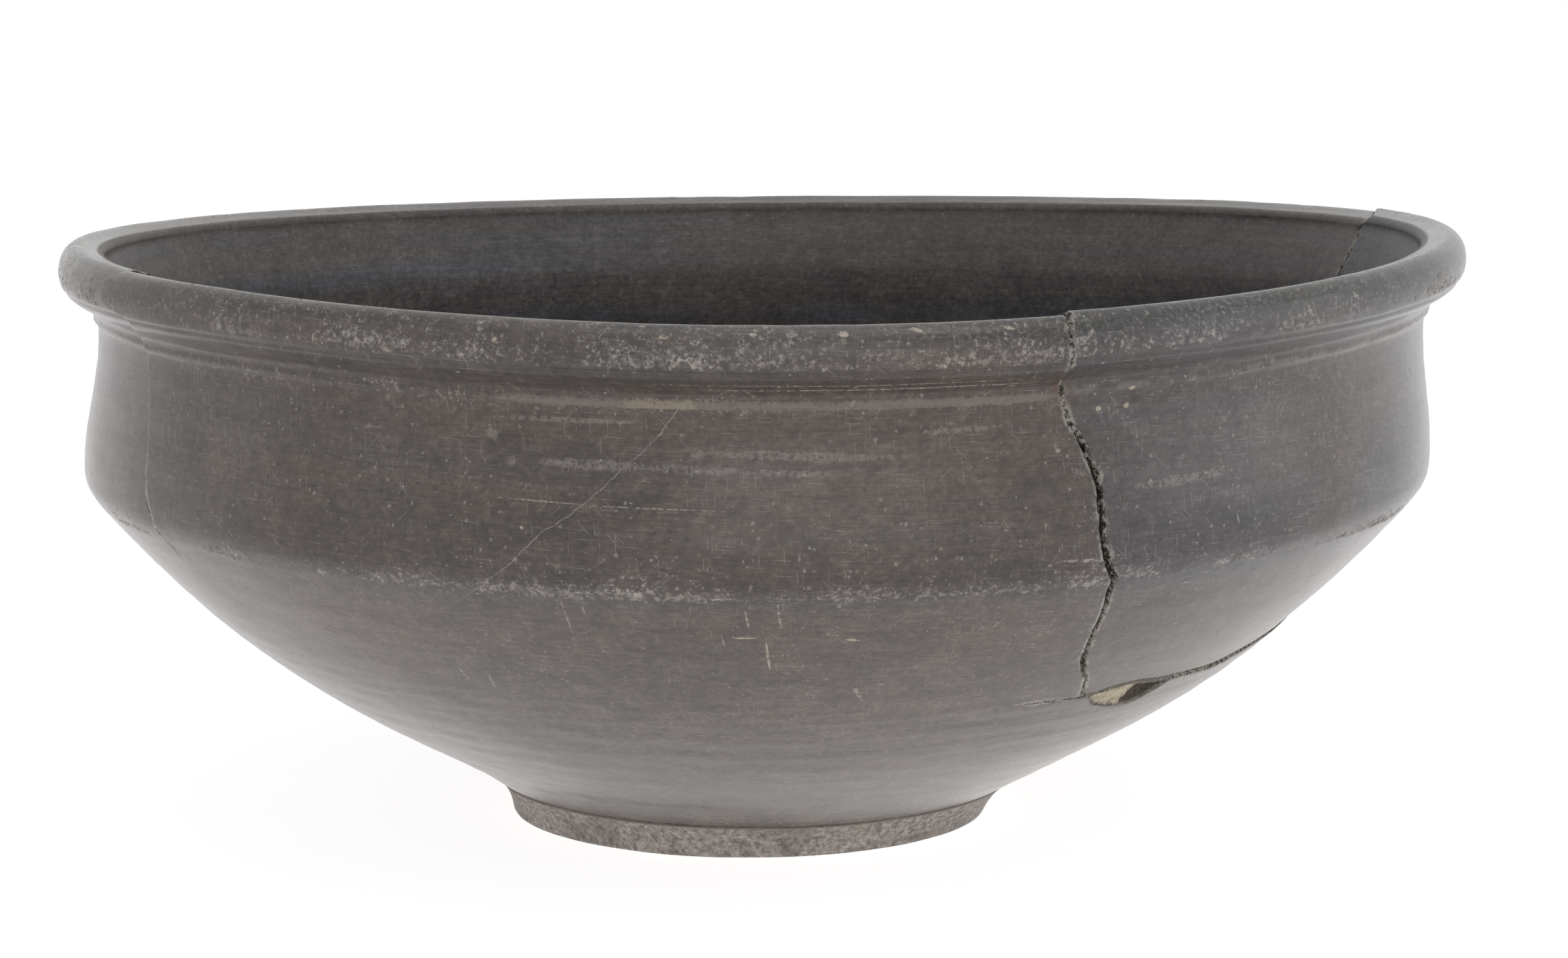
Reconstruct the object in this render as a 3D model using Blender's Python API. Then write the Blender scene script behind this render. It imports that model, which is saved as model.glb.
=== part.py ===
"""Carinated bowl of grey pottery, turned on a wheel, broken once and glued together again.

Metres, +Z up. The ring foot stands on z = 0 and the axis of turning is close to Z. Azimuths are in
degrees, counter-clockwise from +X, and the side that is usually shown faces -Y, at azimuth -90.

The bowl is one closed skin. A section through the clay starts in the middle of the underside, goes
round the ring foot, up the outside, over the lip and down the inside to the middle of the floor. It
is carried round the axis. The columns of the mesh bend to follow the upright cracks, and its rows
bend to follow the crack that runs round the lower wall, so each crack is a sharp groove on its line.
"""
import bpy
import numpy as np

MM = 0.001

# Ring foot and underside
FOOT_RADIUS = 48.2 * MM
FOOT_HEIGHT = 6.7 * MM
FOOT_FLARE = 4.0 * MM
RING_WIDTH = 11.0 * MM
RECESS_DEPTH = 2.2 * MM
RECESS_SLOPE = 3.0 * MM
FOOT_STEP_OUT = 2.1 * MM
FOOT_STEP_UP = 1.6 * MM

# Lower wall, from the foot to the bend of the wall
BEND_RADIUS = 132.0 * MM
BEND_HEIGHT = 66.5 * MM
SLOPE_AT_FOOT = 33.0
SLOPE_AT_BEND = 48.3
LOWER_PULL_FOOT = 22.0 * MM
LOWER_PULL_BEND = 53.0 * MM

# Shoulder and waist above the bend
SHOULDER_OUT = 2.5 * MM
SHOULDER_RISE = 5.6 * MM
WAIST_IN = 2.3 * MM
WAIST_RISE = 26.3 * MM
LEDGE_RISE = 2.5 * MM
LEDGE_PROUD = 0.5 * MM
LEDGE_HALF_WIDTH = 1.0 * MM
NECK_OUT = 1.3 * MM
NECK_RISE = 4.6 * MM

# Rolled lip
LIP_RADIUS = 140.0 * MM
LIP_RISE = 7.45 * MM
LIP_ROUND = 5.5 * MM
CREST_IN = 3.8 * MM
CREST_RISE = 5.2 * MM
LIP_WIDTH = 9.0 * MM
LIP_INNER_DROP = 1.2 * MM
LIP_INNER_ROUND = 1.5 * MM
LIP_INNER_FROM = 96.0
LIP_INNER_TO = 205.0
LIP_UNDER_TO = -45.0

# Thickness of the clay
NECK_WALL = 6.2 * MM
LOWER_WALL = 6.4 * MM
FOOT_WALL = 7.5 * MM
FLOOR_HEIGHT = 9.0 * MM

# Unevenness left by drying and firing: how far the rim rises and the axis wanders
RIM_WAVE = [(1, 1.0 * MM, -0.46 * MM), (2, 1.9 * MM, 0.45 * MM), (3, 0.19 * MM, -0.25 * MM)]
WAVE_START = 30.0 * MM
AXIS_HEIGHTS = [0.0, 12.0 * MM, 45.0 * MM, 80.0 * MM, 112.0 * MM]
AXIS_WANDER = [-1.4 * MM, 0.6 * MM, -0.4 * MM, 0.25 * MM, 0.9 * MM]

# Cracks: lines of (azimuth in degrees, height), from the lip down or from left to right
FRONT_CRACK = [(-67.3, 115.8 * MM), (-67.4, 111.6 * MM), (-67.2, 106.3 * MM), (-67.0, 104.1 * MM),
               (-65.9, 97.5 * MM), (-65.1, 93.7 * MM), (-63.3, 86.0 * MM), (-62.9, 77.0 * MM),
               (-62.5, 71.4 * MM), (-61.2, 67.5 * MM), (-60.5, 62.9 * MM), (-58.9, 53.3 * MM),
               (-58.5, 49.6 * MM), (-57.2, 46.1 * MM), (-55.3, 42.9 * MM), (-53.8, 38.9 * MM)]
RIGHT_CRACK = [(17.5, 115.6 * MM), (14.9, 114.5 * MM), (16.2, 112.0 * MM), (15.5, 108.3 * MM),
               (16.2, 104.2 * MM), (17.2, 95.0 * MM), (15.8, 86.0 * MM), (17.6, 76.0 * MM),
               (16.9, 66.0 * MM), (18.0, 52.0 * MM)]
LEFT_JOINT = [(-148.2, 115.4 * MM), (-150.1, 113.9 * MM), (-150.0, 109.6 * MM), (-147.2, 108.2 * MM),
              (-146.0, 106.8 * MM), (-148.3, 102.9 * MM), (-148.4, 96.0 * MM), (-147.7, 84.0 * MM),
              (-147.3, 75.1 * MM), (-146.6, 71.5 * MM), (-145.7, 63.6 * MM), (-145.3, 57.9 * MM)]
LOWER_CRACK = [(-64.2, 38.7 * MM), (-53.8, 38.7 * MM), (-50.3, 38.9 * MM), (-47.9, 39.6 * MM),
               (-43.1, 38.8 * MM), (-34.2, 37.8 * MM), (-25.3, 38.6 * MM), (-20.0, 41.0 * MM),
               (-9.0, 44.5 * MM), (4.0, 48.2 * MM), (18.0, 52.0 * MM)]
CRACK_HALF_WIDTH = 0.8 * MM
FRONT_CRACK_DEPTH = 2.0 * MM
RIGHT_CRACK_DEPTH = 1.5 * MM
LEFT_JOINT_DEPTH = 0.7 * MM
LOWER_CRACK_DEPTH = 1.3 * MM
LOWER_CRACK_FADE = 4.0
JOINT_BOTTOM = 52.0 * MM
JOINT_FADE = 12.0 * MM

# Sherds that were glued a little out of true
SHERD_LIFT = 0.75 * MM
SHERD_PROUD = 0.3 * MM
FRONT_SHERD_PROUD = 0.8 * MM
LEFT_SHERD_SUNK = 0.8 * MM
FRONT_SHERD_REACH = 14.0
LEFT_SHERD_REACH = 60.0

# Flake that is missing under the lower crack
FLAKE_MIDDLE = -47.7
FLAKE_HALF_ANGLE = 5.7
FLAKE_DROP = 6.8 * MM
FLAKE_DEPTH = 1.4 * MM
FLAKE_COLUMNS = [-0.62, -0.22, 0.22, 0.62, 1.0]
FLAKE_ROWS = [1.15, 0.85, 0.45]

# Mesh: facets round the bowl, and how far round and along the section a crack bends it
REGULAR_COLUMNS = 64
COLUMN_REACH = 22.0
ROW_REACH = 0.34
LEAST_COLUMN_GAP = 1.9
SAME_COLUMN = 0.1
SHARP_EDGE = 32.0


def direction(angle):
    """Unit vector in the section at an angle in degrees above the outward radius."""
    return np.array([np.cos(np.radians(angle)), np.sin(np.radians(angle))])


def curve(first, first_handle, second_handle, last, steps=40):
    """Cubic curve between two points of the section, drawn towards its two handles."""
    t = np.linspace(0.0, 1.0, steps)[:, None]
    first, first_handle, second_handle, last = map(np.asarray, (first, first_handle, second_handle, last))
    return ((1 - t) ** 3 * first + 3 * (1 - t) ** 2 * t * first_handle
            + 3 * (1 - t) * t ** 2 * second_handle + t ** 3 * last)


def line(first, last, steps=12):
    """Straight stretch of the section."""
    t = np.linspace(0.0, 1.0, steps)[:, None]
    return (1 - t) * np.asarray(first) + t * np.asarray(last)


def arc(middle, half_sizes, first_angle, last_angle, steps=24):
    """Round or oval stretch of the section about a middle point, with its half width and height."""
    angles = np.radians(np.linspace(first_angle, last_angle, steps))
    return np.asarray(middle) + np.stack([np.cos(angles), np.sin(angles)], axis=1) * half_sizes


def smooth_step(value):
    """0 below 0 and 1 above 1, with an even ease between them."""
    value = np.clip(value, 0.0, 1.0)
    return value * value * (3 - 2 * value)


def hump(distance):
    """1 in the middle and 0 from a distance of 1 on, level at both."""
    return np.clip(1 - distance ** 2, 0.0, None) ** 2


def section_stretches():
    """The section as named stretches of (radius, height) points, with the rows each one gets.

    The rows are shares of the stretch from 0 up to, but not with, 1, where the next one starts.
    """
    recess_edge = FOOT_RADIUS - RING_WIDTH
    foot_top = (FOOT_RADIUS + FOOT_FLARE, FOOT_HEIGHT)
    wall_start = np.array([foot_top[0] + FOOT_STEP_OUT, foot_top[1] + FOOT_STEP_UP])
    bend = np.array([BEND_RADIUS, BEND_HEIGHT])
    shoulder = bend + [SHOULDER_OUT, SHOULDER_RISE]
    waist = shoulder + [-WAIST_IN, WAIST_RISE]
    neck = waist + [NECK_OUT, NECK_RISE]
    lip_out = np.array([LIP_RADIUS, neck[1] + LIP_RISE])
    lip_under = lip_out + LIP_ROUND * (direction(LIP_UNDER_TO) - direction(0))
    lip_crest = lip_out + [-CREST_IN, CREST_RISE]
    inner_middle = np.array([LIP_RADIUS - LIP_WIDTH + LIP_INNER_ROUND,
                             lip_crest[1] - LIP_INNER_DROP - LIP_INNER_ROUND])
    inner_top = inner_middle + LIP_INNER_ROUND * direction(LIP_INNER_FROM)
    inner_edge = inner_middle + LIP_INNER_ROUND * direction(LIP_INNER_TO)

    # The inside follows the outside at the thickness of the clay
    inner_waist = waist - [NECK_WALL, 0.0]
    inner_shoulder = shoulder + [-LOWER_WALL, 0.15 * WAIST_RISE]
    inner_bend = bend + LOWER_WALL * direction(SLOPE_AT_BEND + 90)
    inner_foot = wall_start + FOOT_WALL * direction(SLOPE_AT_FOOT + 90)
    wall_length = np.linalg.norm(bend - wall_start)
    inner_share = np.linalg.norm(inner_bend - inner_foot) / wall_length

    ledge_rows = [LEDGE_RISE - LEDGE_HALF_WIDTH, LEDGE_RISE, LEDGE_RISE + LEDGE_HALF_WIDTH]
    return {
        "recess": (line((0.0, RECESS_DEPTH), (recess_edge - RECESS_SLOPE, RECESS_DEPTH)), [0.5]),
        "recess_side": (line((recess_edge - RECESS_SLOPE, RECESS_DEPTH), (recess_edge, 0.0)), [0.0]),
        "standing_ring": (line((recess_edge, 0.0), (FOOT_RADIUS, 0.0)), [0.0]),
        "foot_side": (curve((FOOT_RADIUS, 0.0), (FOOT_RADIUS + 0.15 * FOOT_FLARE, 0.38 * FOOT_HEIGHT),
                            (FOOT_RADIUS + 0.6 * FOOT_FLARE, 0.78 * FOOT_HEIGHT), foot_top),
                      [0.0, 0.33, 0.67]),
        "foot_edge": (curve(foot_top,
                            foot_top + 0.1 * (wall_start - foot_top) + [0.0, 0.3 * FOOT_STEP_UP],
                            wall_start - 0.6 * FOOT_STEP_OUT * direction(SLOPE_AT_FOOT), wall_start),
                      [0.0, 0.5]),
        "lower_wall": (curve(wall_start, wall_start + LOWER_PULL_FOOT * direction(SLOPE_AT_FOOT),
                             bend - LOWER_PULL_BEND * direction(SLOPE_AT_BEND), bend, 90),
                       [0.0, 0.09, 0.18, 0.27, 0.36, "flake", "crack", 0.66, 0.76, 0.88]),
        "bend": (curve(bend, bend + 0.9 * SHOULDER_OUT * direction(SLOPE_AT_BEND),
                       shoulder - [0.0, 0.43 * SHOULDER_RISE], shoulder), [0.0, 0.3, 0.65]),
        "shoulder": (curve(shoulder, shoulder + [0.4 * MM, 0.31 * WAIST_RISE],
                           waist - [0.2 * MM, 0.37 * WAIST_RISE], waist), [0.0, 0.25, 0.5, 0.75]),
        "neck": (curve(waist, waist + [0.0, 0.45 * NECK_RISE],
                       neck - 0.3 * NECK_RISE * direction(70), neck),
                 [0.0] + [rise / NECK_RISE for rise in ledge_rows] + [0.65]),
        "under_lip": (curve(neck, neck + 0.25 * LIP_RISE * direction(50),
                            lip_under - 0.3 * LIP_RISE * direction(45), lip_under), [0.0, 0.5]),
        "lip_low": (arc(lip_out - [LIP_ROUND, 0.0], (LIP_ROUND, LIP_ROUND), LIP_UNDER_TO, 0), [0.0, 0.5]),
        "lip_high": (arc(lip_out - [CREST_IN, 0.0], (CREST_IN, CREST_RISE), 0, 90),
                     [0.0, 0.25, 0.5, 0.75]),
        "lip_top": (line(lip_crest, inner_top), [0.0, 0.6]),
        "lip_inner_edge": (arc(inner_middle, (LIP_INNER_ROUND, LIP_INNER_ROUND),
                               LIP_INNER_FROM, LIP_INNER_TO), [0.0, 0.5]),
        "inner_neck": (curve(inner_edge, inner_edge + 0.3 * (NECK_RISE + LIP_RISE) * direction(238),
                             inner_waist + [0.0, 0.35 * (NECK_RISE + LIP_RISE)], inner_waist),
                       [0.0, 0.33, 0.67]),
        "inner_shoulder": (curve(inner_waist, inner_waist - [0.0, 0.4 * WAIST_RISE],
                                 inner_shoulder + [0.0, 0.35 * WAIST_RISE], inner_shoulder),
                           [0.0, 0.33, 0.67]),
        "inner_bend": (curve(inner_shoulder, inner_shoulder - [0.0, 0.6 * SHOULDER_RISE],
                             inner_bend + 0.1 * SHOULDER_RISE * direction(SLOPE_AT_BEND), inner_bend),
                       [0.0, 0.5]),
        "inner_wall": (curve(inner_bend,
                             inner_bend - inner_share * LOWER_PULL_BEND * direction(SLOPE_AT_BEND),
                             inner_foot + inner_share * LOWER_PULL_FOOT * direction(SLOPE_AT_FOOT),
                             inner_foot, 90),
                       [0.0, 0.12, 0.25, "crack", 0.62, 0.75, 0.88]),
        "floor": (curve(inner_foot, inner_foot - 0.2 * inner_foot[0] * direction(SLOPE_AT_FOOT),
                        (0.5 * inner_foot[0], FLOOR_HEIGHT), (0.0, FLOOR_HEIGHT)), [0.0, 0.3, 0.65]),
    }


class Section:
    """The whole section as one line, read at (number of the stretch + share of the stretch)."""

    def __init__(self):
        self.stretches = section_stretches()
        self.names = list(self.stretches)
        places, points = [], []
        for number, name in enumerate(self.names):
            stretch = self.stretches[name][0]
            places.append(number + np.linspace(0.0, 1.0, len(stretch))[:-1])
            points.append(stretch[:-1])
        places.append([len(self.names)])
        points.append(self.stretches[self.names[-1]][0][-1:])
        self.places = np.concatenate(places)
        self.points = np.concatenate(points)
        along = np.gradient(self.points, axis=0)
        along /= np.linalg.norm(along, axis=1)[:, None]
        # The clay lies to the left of the line, so its outward side is to the right
        self.normals = np.stack([along[:, 1], -along[:, 0]], axis=1)

    def at(self, places):
        """Radius, height and the two parts of the outward normal at each place."""
        radius, height = (np.interp(places, self.places, self.points[:, i]) for i in (0, 1))
        out, up = (np.interp(places, self.places, self.normals[:, i]) for i in (0, 1))
        return radius, height, out, up

    def share_at_height(self, name, heights):
        """Share of a stretch at which it reaches each height."""
        stretch = self.stretches[name][0]
        shares = np.linspace(0.0, 1.0, len(stretch))
        order = np.argsort(stretch[:, 1])
        return np.interp(heights, stretch[order, 1], shares[order])

    def length(self, name):
        """Length of a stretch along the clay."""
        return np.linalg.norm(np.diff(self.stretches[name][0], axis=0), axis=1).sum()


def path_azimuth(path, heights):
    """Azimuth of an upright crack at each height."""
    path = sorted(path, key=lambda point: point[1])
    return np.interp(heights, [point[1] for point in path], [point[0] for point in path])


def path_middle(path):
    """Azimuth half-way between the extremes of an upright crack."""
    azimuths = [point[0] for point in path]
    return 0.5 * (min(azimuths) + max(azimuths))


def crack_columns(path):
    """Azimuths of the two edges of a crack and of its bottom between them."""
    half = np.degrees(CRACK_HALF_WIDTH / BEND_RADIUS)
    return [path_middle(path) - half, path_middle(path), path_middle(path) + half]


def bent_towards(path, azimuths, heights):
    """How far columns that start at these azimuths are turned, at each height, to follow a crack."""
    middle = path_middle(path)
    return (path_azimuth(path, heights) - middle) * hump((azimuths - middle) / COLUMN_REACH)


def column_azimuths():
    """Regular columns, less those that crowd a crack, with the cracks' and the flake's own columns."""
    special = []
    for path in (FRONT_CRACK, RIGHT_CRACK, LEFT_JOINT):
        special += crack_columns(path)
    # The flake starts at the front crack, which turns its columns too: they are set where that brings
    # them to the flake
    starts = path_middle(FRONT_CRACK) + np.linspace(-COLUMN_REACH, COLUMN_REACH, 200)
    ends = starts + bent_towards(FRONT_CRACK, starts, FRONT_CRACK[-1][1])
    flake = [FLAKE_MIDDLE + FLAKE_HALF_ANGLE * share for share in FLAKE_COLUMNS]
    special += np.interp(flake, ends, starts).tolist()
    regular = np.arange(REGULAR_COLUMNS) * 360.0 / REGULAR_COLUMNS - 180.0
    kept = [azimuth for azimuth in regular
            if min(abs(azimuth - other) for other in special) > LEAST_COLUMN_GAP]
    return np.array(sorted(kept + special))


def row_places(section, crack_share):
    """Places of the rows along the section, with the crack's and the flake's rows put in.

    Returns the places and the marks that tell which rows are the bottom of the lower crack and which
    lie on the sherd above it.
    """
    places, bottoms, above = [], [], []
    passed = 0
    for number, name in enumerate(section.names):
        for row in section.stretches[name][1]:
            half = CRACK_HALF_WIDTH / section.length(name)
            if row == "flake":
                drop = FLAKE_DROP / section.length(name)
                shares = [crack_share - half - drop * share for share in FLAKE_ROWS]
            elif row == "crack":
                shares = [crack_share - half, crack_share, crack_share + half]
                if name == "inner_wall":
                    shares = [1 - share for share in reversed(shares)]
            else:
                shares = [row]
            for index, share in enumerate(shares):
                places.append(number + share)
                bottoms.append(row == "crack" and index == 1)
                if row == "crack" and index == 1:
                    passed += 1
                above.append(passed == 1 and not bottoms[-1])
    return np.array(places), np.array(bottoms), np.array(above)


def bowl_points(section):
    """Points of the skin, one per column and row, with the cracks, the flake and the wear of form."""
    azimuths = column_azimuths()
    lower_azimuths = [point[0] for point in LOWER_CRACK]
    lower_heights = [point[1] for point in LOWER_CRACK]
    # Past its two ends, the line of the lower crack goes round the back at an even height
    round_azimuths = lower_azimuths + [lower_azimuths[0] + 360.0]
    round_heights = lower_heights + [lower_heights[0]]
    crack_heights = np.interp((azimuths - lower_azimuths[0]) % 360 + lower_azimuths[0],
                              round_azimuths, round_heights)
    crack_share = section.share_at_height("lower_wall", 0.5 * (min(lower_heights) + max(lower_heights)))
    rows, lower_bottoms, above_lower = row_places(section, crack_share)

    # Rows bend along the lower crack
    shift = section.share_at_height("lower_wall", crack_heights) - crack_share
    places = np.tile(rows, (len(azimuths), 1))
    for name, sign in (("lower_wall", 1.0), ("inner_wall", -1.0)):
        number = section.names.index(name)
        middle = number + (crack_share if sign > 0 else 1 - crack_share)
        near = hump((rows - middle) / ROW_REACH)
        inside = (rows > number) & (rows < number + 1)
        places += sign * shift[:, None] * (near * inside)[None, :]
    radius, height, out, up = section.at(places)

    # Columns bend along the upright cracks
    turned = np.tile(azimuths[:, None], (1, len(rows)))
    depth = np.zeros_like(radius)
    on_wall = smooth_step((height - FLOOR_HEIGHT) / (lower_heights[0] - FLOOR_HEIGHT))
    above_joint = smooth_step((height - JOINT_BOTTOM) / JOINT_FADE)
    cracks = [(FRONT_CRACK, FRONT_CRACK_DEPTH, above_lower[None, :] | lower_bottoms[None, :]),
              (RIGHT_CRACK, RIGHT_CRACK_DEPTH, above_lower[None, :] | lower_bottoms[None, :]),
              (LEFT_JOINT, LEFT_JOINT_DEPTH, above_joint)]
    for path, crack_depth, extent in cracks:
        middle = path_middle(path)
        turned += bent_towards(path, azimuths[:, None], height) * on_wall
        at_bottom = np.isclose(azimuths, middle)[:, None]
        depth = np.maximum(depth, at_bottom * extent * crack_depth)

    # The lower crack is open between the two upright ones and fades out to the left of the front one
    front, right = path_middle(FRONT_CRACK), path_middle(RIGHT_CRACK)
    faded = smooth_step((azimuths - lower_azimuths[0]) / (front - lower_azimuths[0] + LOWER_CRACK_FADE))
    faded = faded * (azimuths < right + SAME_COLUMN)
    depth = np.maximum(depth, faded[:, None] * lower_bottoms[None, :] * LOWER_CRACK_DEPTH)

    # The missing flake is a scoop under the lower crack, on the outside only
    wall_number = section.names.index("lower_wall")
    below = (wall_number + crack_share - rows) * section.length("lower_wall") / FLAKE_DROP
    scoop = np.clip(1 - ((turned - FLAKE_MIDDLE) / FLAKE_HALF_ANGLE) ** 2
                    - np.clip(below, 0.0, None)[None, :] ** 2, 0.0, 1.0) ** 0.5
    scoop *= ((below > 0) & ~lower_bottoms & (rows > wall_number))[None, :]
    depth = np.maximum(depth, scoop * FLAKE_DEPTH)

    # A turned ledge runs round the neck
    neck = section.names.index("neck")
    from_ledge = ((rows - neck) * NECK_RISE - LEDGE_RISE) / LEDGE_HALF_WIDTH
    on_neck = (rows >= neck) & (rows < neck + 1)
    depth -= (hump(np.clip(from_ledge, -1, 1)) * on_neck)[None, :] * LEDGE_PROUD

    radius = radius - depth * out
    height = height - depth * up

    # Sherds: the right one sits high, the front one stands proud of the left one at their joint
    upper = smooth_step((height - BEND_HEIGHT) / (LIP_RISE + NECK_RISE + WAIST_RISE))
    right_sherd = ((azimuths > front) & (azimuths < right))[:, None] * above_lower[None, :]
    joint = path_middle(LEFT_JOINT)
    from_joint = azimuths - joint
    proud = (from_joint > -SAME_COLUMN) * hump(np.clip(from_joint / FRONT_SHERD_REACH, 0, 1)) * FRONT_SHERD_PROUD
    behind = (joint - azimuths) % 360
    sunk = (behind > SAME_COLUMN) * hump(np.clip(behind / LEFT_SHERD_REACH, 0, 1)) * LEFT_SHERD_SUNK
    radius = radius + right_sherd * SHERD_PROUD + (proud - sunk)[:, None] * upper
    height = height + right_sherd * SHERD_LIFT

    # The rim rises and falls, and the axis of turning wanders
    turned = np.radians(turned)
    rise = sum(cosine * np.cos(times * turned) + sine * np.sin(times * turned)
               for times, cosine, sine in RIM_WAVE)
    full_height = section.points[:, 1].max()
    height = height + rise * smooth_step((height - WAVE_START) / (full_height - WAVE_START))
    x = radius * np.cos(turned) + np.interp(height, AXIS_HEIGHTS, AXIS_WANDER)
    y = radius * np.sin(turned)
    return np.stack([x, y, height], axis=2)


def bowl_mesh():
    """Closed mesh of the skin: a grid closed round the axis, with a fan at each of its two ends."""
    points = bowl_points(Section())
    columns, rows = points.shape[:2]
    points[..., :2] -= 0.5 * (points[..., :2].min(axis=(0, 1)) + points[..., :2].max(axis=(0, 1)))
    wander = points[:, 0, :2].mean(axis=0)
    under = [*wander, RECESS_DEPTH]
    over = [*points[:, -1, :2].mean(axis=0), FLOOR_HEIGHT]
    vertices = np.concatenate([points.reshape(-1, 3), [under, over]])
    under_index, over_index = columns * rows, columns * rows + 1
    faces = []
    for column in range(columns):
        here, there = column * rows, (column + 1) % columns * rows
        faces.append((under_index, there, here))
        for row in range(rows - 1):
            faces.append((here + row, there + row, there + row + 1, here + row + 1))
        faces.append((over_index, here + rows - 1, there + rows - 1))
    mesh = bpy.data.meshes.new("bowl")
    mesh.from_pydata(vertices.tolist(), [], faces)
    mesh.validate()
    mesh.shade_smooth()
    mesh.set_sharp_from_angle(angle=np.radians(SHARP_EDGE))
    return mesh


def pottery():
    """Burnished grey ware: dull, dark, a little brown."""
    material = bpy.data.materials.new("grey_ware")
    material.use_nodes = True
    shader = material.node_tree.nodes["Principled BSDF"]
    shader.inputs["Base Color"].default_value = (0.135, 0.122, 0.110, 1.0)
    shader.inputs["Roughness"].default_value = 0.55
    shader.inputs["Metallic"].default_value = 0.0
    return material


def main():
    for old in list(bpy.data.objects):
        bpy.data.objects.remove(old, do_unlink=True)
    bowl = bpy.data.objects.new("bowl", bowl_mesh())
    bowl.data.materials.append(pottery())
    bpy.context.scene.collection.objects.link(bowl)


main()
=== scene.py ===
"""Cracked bowl of grey turned pottery, finished for its picture.

Metres, +Z up, the ring foot on z = 0. Azimuths are in degrees, counter-clockwise from +X, and the
side with the open crack faces -Y. The skin is one closed surface: the potter's section, carried
round the axis of turning, with its grid gathered along the cracks and bent to follow them.
"""

import bpy
import numpy as np
from mathutils import Matrix, Vector


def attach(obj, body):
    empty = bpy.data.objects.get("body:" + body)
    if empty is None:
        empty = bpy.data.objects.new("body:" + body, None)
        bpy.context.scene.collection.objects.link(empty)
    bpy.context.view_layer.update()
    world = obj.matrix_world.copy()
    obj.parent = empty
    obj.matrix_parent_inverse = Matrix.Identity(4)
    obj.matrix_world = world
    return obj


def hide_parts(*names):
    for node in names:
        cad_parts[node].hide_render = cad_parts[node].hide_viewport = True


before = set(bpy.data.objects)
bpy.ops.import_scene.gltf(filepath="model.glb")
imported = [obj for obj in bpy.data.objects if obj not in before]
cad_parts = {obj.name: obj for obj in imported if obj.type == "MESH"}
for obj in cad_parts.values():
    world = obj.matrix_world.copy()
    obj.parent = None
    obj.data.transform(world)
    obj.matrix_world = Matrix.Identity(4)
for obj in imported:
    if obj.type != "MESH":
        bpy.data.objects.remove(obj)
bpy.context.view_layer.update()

MM = 0.001

# Ring foot and underside
FOOT_RADIUS = 48.2 * MM
FOOT_HEIGHT = 6.7 * MM
FOOT_FLARE = 4.0 * MM
RING_WIDTH = 11.0 * MM
RECESS_DEPTH = 2.2 * MM
RECESS_SLOPE = 3.0 * MM
FOOT_STEP = np.array([2.1, 1.6]) * MM

# Lower wall, shoulder and neck
BEND = np.array([132.0, 66.5]) * MM
SLOPE_AT_FOOT = 33.0
SLOPE_AT_BEND = 48.3
PULL_AT_FOOT = 22.0 * MM
PULL_AT_BEND = 53.0 * MM
SHOULDER = np.array([2.5, 5.6]) * MM
WAIST = np.array([-2.3, 26.3]) * MM
NECK = np.array([1.3, 4.6]) * MM
LEDGE_RISE = 3.0 * MM
LEDGE_PROUD = 0.5 * MM
LEDGE_HALF_WIDTH = 1.15 * MM
LIP_CREASE_AT = 0.9 * MM
LIP_CREASE_DEPTH = 0.28 * MM
LIP_CREASE_HALF_WIDTH = 0.8 * MM
LIP_CREASE_FOOT = 0.35 * MM

# Rolled lip
LIP_RADIUS = 140.0 * MM
LIP_RISE = 7.45 * MM
LIP_ROUND = 5.5 * MM
CREST = np.array([-3.8, 5.2]) * MM
LIP_WIDTH = 9.0 * MM
LIP_INNER_DROP = 1.2 * MM
LIP_INNER_ROUND = 1.5 * MM

# Thickness of the clay
NECK_WALL = 6.2 * MM
LOWER_WALL = 6.4 * MM
FOOT_WALL = 7.5 * MM
FLOOR_HEIGHT = 9.0 * MM

# Unevenness of the drying and firing
RIM_WAVE = [(1, 1.0 * MM, -0.46 * MM), (2, 1.9 * MM, 0.45 * MM), (3, 0.19 * MM, -0.25 * MM)]
WAVE_START = 30.0 * MM
AXIS_HEIGHTS = np.array([0.0, 12.0, 45.0, 80.0, 112.0]) * MM
AXIS_WANDER = np.array([-1.4, 0.6, -0.4, 0.25, 0.9]) * MM
CENTRING = -1.243 * MM
TRUE_UP = 0.9985

# Cracks: (azimuth in degrees, height in mm) along each, and half of its width in mm at heights
FRONT_CRACK = [(-67.5, 115.6), (-67.8, 114.2), (-67.8, 111.4), (-67.5, 109.2), (-67.5, 105.9),
               (-67.4, 104.2), (-67.2, 102.9), (-66.8, 100.9), (-66.3, 97.3), (-65.9, 95.3),
               (-65.4, 93.5), (-64.9, 91.8), (-64.5, 89.9), (-64.1, 87.7), (-63.7, 85.0),
               (-63.6, 83.4), (-63.5, 80.5), (-63.4, 75.6), (-63.1, 72.6), (-62.7, 69.7),
               (-62.3, 68.4), (-61.7, 66.8), (-61.4, 64.2), (-61.0, 62.0), (-60.6, 59.3),
               (-60.2, 55.6), (-59.8, 53.7), (-59.6, 51.8), (-59.1, 49.5), (-58.5, 47.7),
               (-57.4, 45.6), (-56.2, 43.2), (-55.6, 41.7), (-54.8, 39.2)]
FRONT_HALF_WIDTH = [(38.0, 0.16), (42.0, 0.2), (46.0, 0.36), (49.0, 0.42), (58.0, 0.42), (66.0, 0.52),
                    (72.0, 0.48), (86.0, 0.4), (92.0, 0.32), (97.0, 0.17), (104.0, 0.1), (107.0, 0.13),
                    (112.0, 0.17), (116.0, 0.22)]
RIGHT_CRACK = [(17.5, 115.6), (14.9, 114.5), (16.2, 112.0), (15.5, 108.3), (16.2, 104.2), (17.2, 95.0),
               (15.8, 86.0), (17.6, 76.0), (16.9, 66.0), (18.0, 52.0)]
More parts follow.
